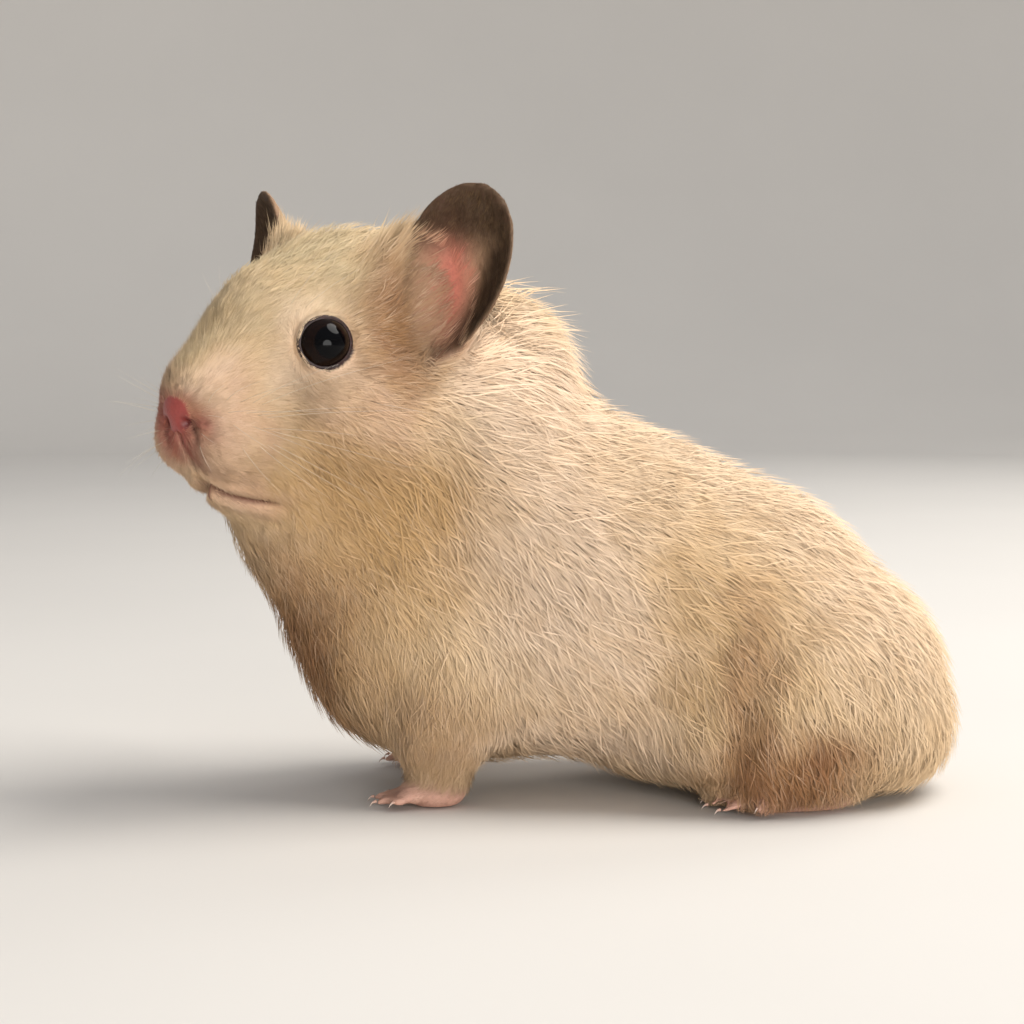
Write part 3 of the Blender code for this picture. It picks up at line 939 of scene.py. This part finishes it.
def bare_places(points):
    """How much of the coat grows at each point: none on the eyeballs, nose's pad, soles and mouth."""
    folded = folded_in(HEAD, points)
    growth = eased(points[:, 2], 0.35 * MM, 1.0 * MM)
    for name in SIDES:
        far, angle = round_the_eye(points, name)
        growth *= 1 - (far < EYE_RADIUS + 0.7 * MM) * faded(angle, LID_ANGLE + 5, LID_ANGLE + 7)
    growth *= eased(from_pad(folded), 2.0 * MM, 2.9 * MM)
    gap, here = from_mouth(folded)
    growth *= 1 - here * (1 - eased(np.abs(gap), 0.4 * MM, 0.9 * MM))
    return growth


def scattered_roots(body, sizes, rng):
    """The tufts' roots, seeded evenly over the skin: rows of all that the skin says at each."""
    mesh = body.data
    points, triangles, normals = points_of(mesh), triangles_of(mesh), normals_of(mesh)
    length = read_attribute(mesh, "length")
    width = tuft_width(length, sizes)
    cover = np.where(length < sizes.short, sizes.down_layers, sizes.layers) / TUFT_FILLS
    thin = 1 - 0.75 * np.maximum(read_attribute(mesh, "ear"), read_attribute(mesh, "bare"))
    below = 1 - 0.5 * eased(-normals[:, 2], 0.4, 0.8)
    density = cover / (width * length) * bare_places(points) * thin * below
    first, second, third = points[triangles].transpose(1, 0, 2)
    area = np.linalg.norm(np.cross(second - first, third - first), axis=1) / 2
    wanted = density[triangles].mean(axis=1) * area
    reach = np.cumsum(wanted)
    count = int(reach[-1])
    chosen = np.searchsorted(reach, (np.arange(count) + rng.random(count)) * reach[-1] / count)
    chosen = np.minimum(chosen, len(triangles) - 1)
    a, b = rng.random((2, count))
    over = a + b > 1
    a, b = np.where(over, 1 - a, a), np.where(over, 1 - b, b)
    weights = np.stack((1 - a - b, a, b), axis=1)

    def mixed(values):
        picked = values[triangles[chosen]]
        return (picked * weights.reshape(count, 3, *([1] * (picked.ndim - 2)))).sum(axis=1)

    loops = read(mesh.loop_triangles, "loops", 3, np.int32)[chosen]
    uv = read(mesh.uv_layers["OFBake"].data, "uv", 2)[loops]
    masks = {name.lower(): mixed(read_attribute(mesh, name.lower())) for name in MASKS}
    masks["dark"] *= 1 - eased(mixed(length), 1.6 * MM, 3 * MM)
    return {
        "root": mixed(points),
        "normal": unit(mixed(normals)),
        "way": unit(mixed(read_attribute(mesh, "way"))),
        "length": mixed(length),
        "depth": mixed(read_attribute(mesh, "depth")),
        "uv": (uv * weights[:, :, None]).sum(axis=1),
        "vertex": triangles[chosen, 0],
        "masks": masks,
    }


def ruffled(points):
    """For each ruff, how far the tufts at each point are pushed out."""
    for name, at, radii, push in RUFFS.values():
        local = into(AXES[name], points)
        for side in SIDES.values():
            flip = np.array((1, side, 1))
            away = np.linalg.norm((local - np.array(at) * flip * MM) / (np.array(radii) * MM), axis=1)
            yield faded(away, 0.3, 1.2)[:, None] * turned(AXES[name], np.array(push) * flip * MM)


def combed(rows, body, sizes, rng):
    """Each tuft's root, middle, tip, facing and shade, and whether it's clear of the eyes and other sheets.

    The facing is the way that a tuft faces the light. Tufts gather in locks, and some stray from them."""
    points, normals, triangles = points_of(body.data), normals_of(body.data), triangles_of(body.data)
    tree = tree_of(points, triangles)
    root, normal, length, depth = rows["root"], rows["normal"], rows["length"], rows["depth"]
    count = len(root)
    way = unit(rows["way"] - (rows["way"] * normal).sum(axis=1)[:, None] * normal)
    across = np.cross(normal, way)
    wander = rng.normal(0, 1, count)
    lock = sizes.lock * np.clip(length / (6 * MM), 0.35, 1.1)
    seeding = np.minimum(1, 0.15 * tuft_width(length, sizes) * length / lock**2)
    seeds = np.flatnonzero(rng.random(count) < seeding)
    lock_wander = rng.normal(0, 1, len(seeds))
    lock_rise = rng.random(len(seeds))
    lock_shade = rng.random(len(seeds))
    kd = KDTree(len(seeds))
    for i, seed in enumerate(seeds.tolist()):
        kd.insert(root[seed].tolist(), i)
    kd.balance()
    mine = np.array([kd.find(p)[1] for p in root.tolist()])
    swing = SWING * wander + LOCK_SWING * lock_wander[mine]
    wild = rng.random(count) < sizes.flyaway
    swing = np.where(wild, swing + rng.normal(0, STRAY_SWING, count), swing)
    way = unit(way + across * swing[:, None])
    reach = length * (0.75 + 0.5 * rng.random(count))
    rise = LEAST_RISE + LOCK_RISE * lock_rise[mine] + OWN_RISE * rng.random(count)
    rise = rise * np.where(wild, STRAY_RISE, 1)
    tips, middles = np.empty((2, count, 3))
    clear = np.ones(count, bool)
    # The middles come last: after the loop up is theirs, and a tuft faces as the skin under its middle does.
    for store, share, lift in ((tips, 1.0, 1.0), (middles, 0.5, 0.66)):
        aim = root + way * (reach * share)[:, None] + normal * (depth * 0.3)[:, None]
        found = [tree.find_nearest(place) for place in aim.tolist()]
        near = np.array([hit[0] for hit in found])
        up = unit(normals[triangles[[hit[2] for hit in found]]].mean(axis=1))
        clear &= (up * normal).sum(axis=1) > -0.1
        store[:] = near + up * (depth * rise * lift)[:, None]
    for push in ruffled(root):
        push = push * rng.uniform(0.35, 1.15, count)[:, None]
        tips += push
        middles += 0.42 * push
    drawn = tips[seeds][mine] - tips
    gather = np.linalg.norm(root[seeds][mine] - root, axis=1) < 1.5 * lock
    pull = np.where(wild, 0, sizes.pull) * gather * np.where(length < 4 * MM, 1.6, 1)
    tips += drawn * (pull * rng.random(count))[:, None]
    middles += drawn * (0.3 * pull)[:, None]
    shade = OWN_SHADE * rng.random(count) + LOCK_SHADE * lock_shade[mine]
    lean = across * (0.2 * wander + 0.3 * lock_wander[mine])[:, None]
    lean += way * (0.15 * rng.normal(0, 1, count) + 0.5 * (lock_rise[mine] - 0.5))[:, None]
    facing = unit(up + sizes.lean * lean)
    for place in (middles, tips):
        place[:, 2] = np.maximum(place[:, 2], 0.35 * MM)
    for name in SIDES:
        for place in (middles, tips):
            far, angle = round_the_eye(place, name)
            clear &= ~((far < EYE_RADIUS + 2.5 * MM) & (angle < LID_ANGLE - 3))
    return root, middles, tips, facing, shade, clear


# The faces of a straight and of a bent tuft, and how far along it each of its points is.
TUFTS = {
    False: ([(1, 2, 0), (3, 1, 0), (3, 2, 1), (3, 0, 2)], (0, 0, 0, 1)),
    True: ([(1, 2, 0), (2, 3, 0), (3, 1, 0), (4, 2, 1), (4, 3, 2), (4, 1, 3)], (0, 0.5, 0.5, 0.5, 1)),
}


def tuft_mesh(name, tufts, rows, chosen, sizes):
    """One mesh of closed tufts: long ones bent in the middle, short ones straight spikes."""
    root, middles, tips, facing, shade = tufts
    short = rows["length"][chosen] < sizes.short
    verts, faces, along, owners, ways = [], [], [], [], []
    start = 0
    for bent in (True, False):
        index = chosen[short != bent]
        if not len(index):
            continue
        normal = rows["normal"][index]
        side = unit(np.cross(tips[index] - root[index], normal))
        half = tuft_width(rows["length"][index], sizes)[:, None] / 2
        base = root[index] - normal * np.minimum(rows["depth"][index] * 0.3, 0.12 * MM)[:, None]
        widest = middles[index] if bent else base
        rings = [widest - side * half, widest + side * half, widest + normal * half * 0.8, tips[index]]
        leans = [-side, side, normal, normal * 0]
        if bent:
            rings, leans = [base] + rings, [normal * 0] + leans
        pattern, steps = TUFTS[bent]
        ways.append((facing[index][:, None, :] + sizes.relief * np.stack(leans, axis=1)).reshape(-1, 3))
        count, each = len(index), len(rings)
        verts.append(np.stack(rings, axis=1).reshape(-1, 3))
        along.append(np.tile(steps, count))
        owners.append(np.repeat(index, each))
        first = start + np.arange(count)[:, None] * each
        faces.append((first + np.ravel(pattern)[None, :]).ravel())
        start += count * each
    verts, along, owners = np.vstack(verts), np.concatenate(along), np.concatenate(owners)
    loops = np.concatenate(faces)
    mesh = bpy.data.meshes.new(name)
    mesh.vertices.add(len(verts))
    mesh.loops.add(len(loops))
    mesh.polygons.add(len(loops) // 3)
    mesh.vertices.foreach_set("co", verts.astype(np.float32).ravel())
    mesh.loops.foreach_set("vertex_index", loops.astype(np.int32))
    mesh.polygons.foreach_set("loop_start", np.arange(0, len(loops), 3, dtype=np.int32))
    mesh.update(calc_edges=True)
    patch = rows["uv"][owners] + np.stack((np.zeros(len(along)), (along - 0.5) * sizes.patch), axis=1)
    corner = np.arange(len(verts)) % 3
    patch[:, 0] += (corner - 1) * sizes.patch / 2
    layer = mesh.uv_layers.new(name="OFBake")
    layer.data.foreach_set("uv", np.clip(patch, 0, 1)[loops].astype(np.float32).ravel())
    add_attribute(mesh, "along", along)
    add_attribute(mesh, "shade", shade[owners])
    for mask, values in rows["masks"].items():
        add_attribute(mesh, mask, values[owners])
    mesh.polygons.foreach_set("use_smooth", np.ones(len(mesh.polygons), bool))
    mesh.normals_split_custom_set_from_vertices(unit(np.vstack(ways)).tolist())
    obj = bpy.data.objects.new(name, mesh)
    bpy.context.scene.collection.objects.link(obj)
    return obj


COAT_PIECES = {
    "head": ["head", "nose"],
    "neck": ["neck"],
    "trunk": ["trunk", "tail"],
    "ears": ["ear_left", "ear_right"],
    "legs": ["foreleg_left", "foreleg_right", "hindleg_left", "hindleg_right"],
    "feet": ["forepaw_left", "forepaw_right", "hindfoot_left", "hindfoot_right"],
}


def make_coat(body, parts, sizes):
    """All the tufts, in pieces of one region each, split along the body where a region has too many."""
    rng = np.random.default_rng(sizes.seed)
    rows = scattered_roots(body, sizes, rng)
    *tufts, clear = combed(rows, body, sizes, rng)
    names = parts[rows["vertex"]]
    cost = np.where(rows["length"] < sizes.short, len(TUFTS[False][0]), len(TUFTS[True][0]))
    made = []
    for region, members in COAT_PIECES.items():
        index = np.flatnonzero(np.isin(names, members) & clear)
        index = index[np.argsort(rows["root"][index, 0], kind="stable")]
        share = np.cumsum(cost[index])
        pieces = math.ceil(share[-1] / sizes.most_triangles)
        for i in range(pieces):
            chosen = index[(share > share[-1] * i / pieces) & (share <= share[-1] * (i + 1) / pieces)]
            name = "coat_" + region + (f"_{i + 1}" if pieces > 1 else "")
            made.append(tuft_mesh(name, tufts, rows, chosen, sizes))
    return made


# Eyes, whiskers and claws.


def make_eye(name, side):
    """A fine eyeball with the low swell of the cornea where it looks out."""
    centre = middle("eye_" + name)
    bpy.ops.object.select_all(action="DESELECT")
    bpy.ops.mesh.primitive_uv_sphere_add(segments=72, ring_count=48, radius=EYE_RADIUS, location=centre)
    ball = newest("eyeball_" + name)
    bpy.ops.object.transform_apply(location=True, rotation=True, scale=True)
    points = points_of(ball.data)
    out = unit(points - np.array(centre))
    facing = out @ gaze_of(side)
    swell = 0.2 * MM * bell(np.degrees(np.arccos(np.clip(facing, -1, 1))), 42)
    set_points(ball.data, points + out * swell[:, None])
    add_attribute(ball.data, "gaze", facing)
    return ball


def modelled_spike(name, sides, rings, tip):
    """A slim cone of length 1 that stands on its middle, cut into rings, to be copied and bent."""
    bpy.ops.object.select_all(action="DESELECT")
    bpy.ops.mesh.primitive_cone_add(vertices=sides, radius1=1, radius2=tip, depth=1, location=(0, 0, 0.5))
    spike = newest(name)
    bpy.ops.object.transform_apply(location=True, rotation=True, scale=True)
    with editing(None):
        for i in range(1, rings):
            bpy.ops.mesh.select_all(action="SELECT")
            bpy.ops.mesh.bisect(plane_co=(0, 0, i / rings), plane_no=(0, 0, 1))
    add_attribute(spike.data, "along", points_of(spike.data)[:, 2])
    return spike


def bent_copies(spike, name, paths, radius):
    """Copies of the spike, each bent along its own path, joined in one piece. A path is three points."""
    source = points_of(spike.data)
    copies = []
    for start, middle_point, end in paths:
        copy = copy_of(spike.data, name)
        t = source[:, 2:]
        spine = (1 - t) ** 2 * start + 2 * t * (1 - t) * middle_point + t**2 * end
        ahead = unit(2 * (1 - t) * (middle_point - start) + 2 * t * (end - middle_point))
        side = unit(np.cross(ahead, np.array((0.12, 0.09, 1.0))))
        over = np.cross(side, ahead)
        set_points(copy.data, spine + (side * source[:, :1] + over * source[:, 1:2]) * radius)
        copies.append(copy)
    bpy.data.objects.remove(spike)
    select_only(*copies)
    bpy.ops.object.join()
    with editing():
        bpy.ops.mesh.normals_make_consistent(inside=False)
    return newest(name)


def whisker_paths(body, sizes):
    """Rows of whiskers on the pads, longest at the back, with a few over the eyes and on the cheeks."""
    rng = np.random.default_rng(sizes.seed + 7)
    tree = tree_of(points_of(body.data), triangles_of(body.data))
    starts = []
    for row in range(4):
        for column in range(5):
            place = (13.2 - 1.35 * column - 0.4 * row, 3.8 + 0.95 * column, -7.2 - 1.55 * row)
            way = (0.55 - 0.24 * column, 1.0, 0.42 - 0.3 * row)
            starts.append((place, way, 8.5 + 2.6 * column - 0.6 * row))
    starts += [((3.5, 7.0, 4.5), (-0.1, 0.8, 1.0), 9), ((2.0, 8.2, 4.6), (-0.4, 0.9, 0.9), 10)]
    starts += [((-3.5, 13.5, -7.0), (-0.4, 1.0, -0.1), 8)]
    paths = []
    for side in SIDES.values():
        for place, way, length in starts:
            flip = np.array((1, side, 1))
            at = out_of(HEAD, np.array([place]) * flip * MM)[0]
            near, normal, _, _ = tree.find_nearest(at.tolist())
            way = unit(np.array(way) + rng.normal(0, 0.07, 3))
            length = length * MM * rng.uniform(0.85, 1.15) * sizes.whiskers
            ahead = turned(HEAD, way * flip)
            back = turned(HEAD, np.array((-0.5, 0.1 * side, -0.18)))
            start = np.array(near) - np.array(normal) * 0.2 * MM
            end = start + ahead * length * 0.93 + back * length * 0.3
            paths.append((start, start + ahead * length * 0.5, end))
    return paths


def claw_paths():
    """From the tip of each toe, a short claw that curves down to the floor."""
    paths = []
    for at, turn, toes in PAWS:
        for side in (-1, 1):
            turn_matrix = Matrix.Rotation(math.pi - side * math.radians(turn), 4, "Z")
            paw = BODY @ Matrix.Translation((at[0] * MM, side * at[1] * MM, 0)) @ turn_matrix
            for start, fan, joints in toes:
                fan = math.radians(fan)
                way = np.array((math.cos(fan), math.sin(fan) * 1.25, 0))
                out = start + joints - 1
                base = way * (out + 0.35) + np.array((0, 0, 1.9 - 0.22 * (joints - 1) + 0.12))
                bend, tip = way * 0.5 + np.array((0, 0, 0.1)), way * 0.85 - np.array((0, 0, 0.55))
                paths.append([out_of(paw, np.array([base + step]) * MM)[0] for step in (0, bend, tip)])
    return paths


# The stage.


def make_floor(settings):
    """A pale round floor that curves up into a low wall far off."""
    bpy.ops.object.select_all(action="DESELECT")
    bpy.ops.mesh.primitive_circle_add(vertices=128, radius=FLOOR_RADIUS, fill_type="NGON", location=(0, 0, 0))
    floor = newest("stage_floor")
    turns = [math.radians(90 * step / WALL_STEPS) for step in range(WALL_STEPS + 1)]
    with editing():
        bpy.ops.mesh.inset(thickness=0.01)
        bpy.ops.mesh.select_mode(type="EDGE")
        bpy.ops.mesh.select_all(action="DESELECT")
        bpy.ops.mesh.select_non_manifold()
        for before, after in zip(turns, turns[1:]):
            inner, outer = (FLOOR_RADIUS + WALL_CURVE * math.sin(turn) for turn in (before, after))
            bpy.ops.mesh.extrude_edges_move()
            bpy.ops.transform.resize(value=(outer / inner, outer / inner, 1))
            bpy.ops.transform.translate(value=(0, 0, WALL_CURVE * (math.cos(before) - math.cos(after))))
        bpy.ops.mesh.extrude_edges_move()
        bpy.ops.transform.translate(value=(0, 0, WALL_HEIGHT))
    bpy.ops.object.shade_smooth()
    material, board, shader = new_material("Stage", Roughness=0.9, Specular_IOR_Level=0.1)
    cloud = board.noise(board.place(), 12, 2)
    colour = board.blend(board.step(cloud, 0.3, 0.7, 0, 0.06), settings.floor, (0.5, 0.48, 0.45))
    board.feed(shader, {"Base Color": colour})
    floor.data.materials.append(material)


def make_stage(settings):
    """The floor, a soft key from above, soft fill and rim, an even sky, and the camera."""
    make_floor(settings)
    target = BODY @ LOOK_AT
    for name, (place, size, colour) in LAMPS.items():
        bpy.ops.object.light_add(type="AREA", location=place)
        lamp = newest(name)
        lamp.data.shape, lamp.data.size = "DISK", size
        lamp.data.energy, lamp.data.color = getattr(settings, name), colour
        lamp.rotation_euler = (target - Vector(place)).to_track_quat("-Z", "Y").to_euler()
    world = bpy.data.worlds.new("Studio")
    world.use_nodes = True
    world.node_tree.nodes["Background"].inputs[0].default_value = (0.93, 0.95, 1.0, 1)
    world.node_tree.nodes["Background"].inputs[1].default_value = settings.sky
    bpy.context.scene.world = world
    bpy.context.scene.view_settings.view_transform = "Standard"
    tilt = math.radians(CAMERA_TILT)
    place = target + Vector((0, -math.cos(tilt), math.sin(tilt))) * settings.distance
    bpy.ops.object.camera_add(location=place, rotation=(math.pi / 2 - tilt, 0, 0))
    camera = bpy.context.view_layer.objects.active
    camera.data.lens, camera.data.sensor_width = settings.lens, 36
    camera.data.clip_start = 0.01
    bpy.context.scene.camera = camera


# The add-on.


def size(name, description, default, **more):
    return FloatProperty(name=name, description=description, default=default, precision=6, **more)


def length(name, description, default):
    return size(name, description, default, unit="LENGTH", min=0)


def colour(name, description, *screen):
    shade = tint(*screen)
    more = {"subtype": "COLOR", "size": 3, "min": 0, "max": 1}
    return FloatVectorProperty(name=name, description=description, default=shade, **more)


class HamsterSizes(bpy.types.PropertyGroup):
    grain: length("Skin grain", "Size of the skin's faces", 0.65 * MM)
    swell: length("Swell", "How far the solids swell to close the cuts between them", 0.25 * MM)
    width: length("Hair width", "Width of the shortest tufts", 0.06 * MM)
    width_per_length: size("Width per length", "How much wider a tuft is for its length", 0.0165)
    relief: size("Relief", "How round each tuft looks against the form below it", 0.45)
    lean: size("Lean", "How far the locks turn from the form below them in the light", 1.0)
    short: length("Short", "Tufts shorter than this are straight spikes", 2.6 * MM)
    layers: size("Layers", "How many tufts of the long coat lie over each place", 6.0)
    down_layers: size("Down layers", "How many hairs of the short coat lie over each place", 4.0)
    lock: length("Lock", "Distance between the locks that the tufts gather in", 1.5 * MM)
    pull: size("Pull", "How far a tuft's tip is drawn to its lock's", 0.16)
    flyaway: size("Flyaways", "Share of tufts that stray", 0.09)
    patch: size("Patch", "Width of a tuft's patch on the unwrapped skin", 0.003)
    whiskers: size("Whiskers", "Length of the whiskers against a grown one's", 1.0)
    most_triangles: IntProperty(name="Triangles", description="Most in one piece of coat", default=190000)
    seed: IntProperty(name="Seed", description="Seed of all that is random", default=11)


class HamsterColours(bpy.types.PropertyGroup):
    cream: colour("Cream", "Most of the coat", 226, 196, 157)
    straw: colour("Straw", "The crown and the bridge of the nose", 198, 180, 142)
    white: colour("White", "The palest fur", 243, 216, 188)
    tan: colour("Tan", "The sandy patches of the side", 202, 162, 110)
    # Brown is also the painted shade on the chest, in the fold before the haunch and low on the haunch.
    brown: colour("Brown", "The fur before the ears and in the folds", 150, 106, 71)
    blush: colour("Blush", "Fur with the skin showing through", 206, 166, 142)
    pink: colour("Pink", "The warm middle of the ears", 214, 128, 110)
    ear: colour("Ear", "The thin skin of the ears", 168, 132, 104)
    dark: colour("Dark", "The dark of the ears", 52, 36, 20)
    nose: colour("Nose", "The nose's pad", 156, 72, 66)
    # Painted shade: the dark red in the openings of the nostrils and the mouth.
    crease: colour("Crease", "Nostrils and mouth", 86, 30, 28)
    lid: colour("Lid", "The rims of the eyes", 44, 28, 24)
    paw: colour("Paw", "The skin of the paws", 214, 168, 148)
    eye: colour("Eye", "The brown of the eyes", 30, 16, 10)
    whisker: colour("Whisker", "The whiskers", 220, 204, 180)
    claw: colour("Claw", "The claws", 200, 160, 142)


class HamsterStage(bpy.types.PropertyGroup):
    floor: colour("Floor", "The floor and the wall", 218, 214, 208)
    key: size("Key", "Power of the light above", 3.8, unit="POWER")
    fill: size("Fill", "Power of the light in front", 5.2, unit="POWER")
    rim: size("Rim", "Power of the light behind", 1.2, unit="POWER")
    sky: size("Sky", "Strength of the light from all round", 0.42)
    distance: length("Distance", "From the camera to the hamster's middle", 0.30)
    lens: size("Lens", "Focal length of the camera in mm", 80)


def materials(scene):
    """The model's materials by name, made the first time that they're asked for."""
    if "Skin" not in bpy.data.materials:
        colours = scene.hamster_colours
        group = markings_group(colours)
        skin_material(group, colours)
        coat_material(group, colours)
        eye_material(colours)
        horn_material("Whisker", colours.whisker, (0.75, 0.68, 0.58), 0.45)
        horn_material("Claw", colours.claw, (0.6, 0.5, 0.43), 0.4)
    return bpy.data.materials


class HAMSTER_OT_skin(bpy.types.Operator):
    """One skin under the coat, with lids, nostrils, mouth and ears"""

    bl_idname = "hamster.skin"
    bl_label = "Skin"

    def execute(self, context):
        body, parts = make_skin(context.scene.hamster_sizes)
        order = np.array([FLESH.index(part) for part in parts], np.int32)
        body.data.attributes.new("part", "INT", "POINT").data.foreach_set("value", order)
        finish_piece(body, materials(context.scene)["Skin"])
        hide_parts(*FLESH)
        return {"FINISHED"}


class HAMSTER_OT_coat(bpy.types.Operator):
    """The coat, in pieces of fine tufts that follow the lie of the fur"""

    bl_idname = "hamster.coat"
    bl_label = "Coat"

    def execute(self, context):
        body = bpy.data.objects["skin"]
        order = read(body.data.attributes["part"].data, "value", 1, np.int32)
        for piece in make_coat(body, np.array(FLESH)[order], context.scene.hamster_sizes):
            finish_piece(piece, materials(context.scene)["Coat"])
        return {"FINISHED"}


class HAMSTER_OT_eyes(bpy.types.Operator):
    """The two wet eyes"""

    bl_idname = "hamster.eyes"
    bl_label = "Eyes"

    def execute(self, context):
        for name, side in SIDES.items():
            ball = finish_piece(make_eye(name, side), materials(context.scene)["Eye"])
            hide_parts("eye_" + name)
        return {"FINISHED"}


class HAMSTER_OT_whiskers(bpy.types.Operator):
    """The whiskers of both sides"""

    bl_idname = "hamster.whiskers"
    bl_label = "Whiskers"

    def execute(self, context):
        sizes = context.scene.hamster_sizes
        paths = whisker_paths(bpy.data.objects["skin"], sizes)
        piece = bent_copies(modelled_spike("whisker", 6, 14, 0.2), "whiskers", paths, WHISKER_RADIUS)
        finish_piece(piece, materials(context.scene)["Whisker"])
        return {"FINISHED"}


class HAMSTER_OT_claws(bpy.types.Operator):
    """A claw on every toe"""

    bl_idname = "hamster.claws"
    bl_label = "Claws"

    def execute(self, context):
        piece = bent_copies(modelled_spike("claw", 10, 6, 0.12), "claws", claw_paths(), CLAW_RADIUS)
        finish_piece(piece, materials(context.scene)["Claw"])
        return {"FINISHED"}


class HAMSTER_OT_stage(bpy.types.Operator):
    """The floor, the lights and the camera"""

    bl_idname = "hamster.stage"
    bl_label = "Stage"

    def execute(self, context):
        make_stage(context.scene.hamster_stage)
        return {"FINISHED"}


OPERATORS = (
    HAMSTER_OT_skin,
    HAMSTER_OT_coat,
    HAMSTER_OT_eyes,
    HAMSTER_OT_whiskers,
    HAMSTER_OT_claws,
    HAMSTER_OT_stage,
)
GROUPS = {"hamster_sizes": HamsterSizes, "hamster_colours": HamsterColours, "hamster_stage": HamsterStage}


class HAMSTER_PT_panel(bpy.types.Panel):
    """Lists the steps that dress the model, and their sizes and colours"""

    bl_idname = "HAMSTER_PT_panel"
    bl_label = "Hamster"
    bl_space_type = "VIEW_3D"
    bl_region_type = "UI"
    bl_category = "Hamster"

    def draw(self, context):
        for operator in OPERATORS:
            self.layout.operator(operator.bl_idname)
        for name, group in GROUPS.items():
            box = self.layout.box()
            for key in group.__annotations__:
                box.prop(getattr(context.scene, name), key)


def register():
    for cls in (*GROUPS.values(), *OPERATORS, HAMSTER_PT_panel):
        bpy.utils.register_class(cls)
    for name, group in GROUPS.items():
        setattr(bpy.types.Scene, name, PointerProperty(type=group))


def unregister():
    for name in GROUPS:
        delattr(bpy.types.Scene, name)
    for cls in reversed((*GROUPS.values(), *OPERATORS, HAMSTER_PT_panel)):
        bpy.utils.unregister_class(cls)


def main():
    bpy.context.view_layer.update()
    register()
    bpy.ops.hamster.skin()
    bpy.ops.hamster.coat()
    bpy.ops.hamster.eyes()
    bpy.ops.hamster.whiskers()
    bpy.ops.hamster.claws()
    bpy.ops.hamster.stage()


if __name__ == "__main__":
    main()
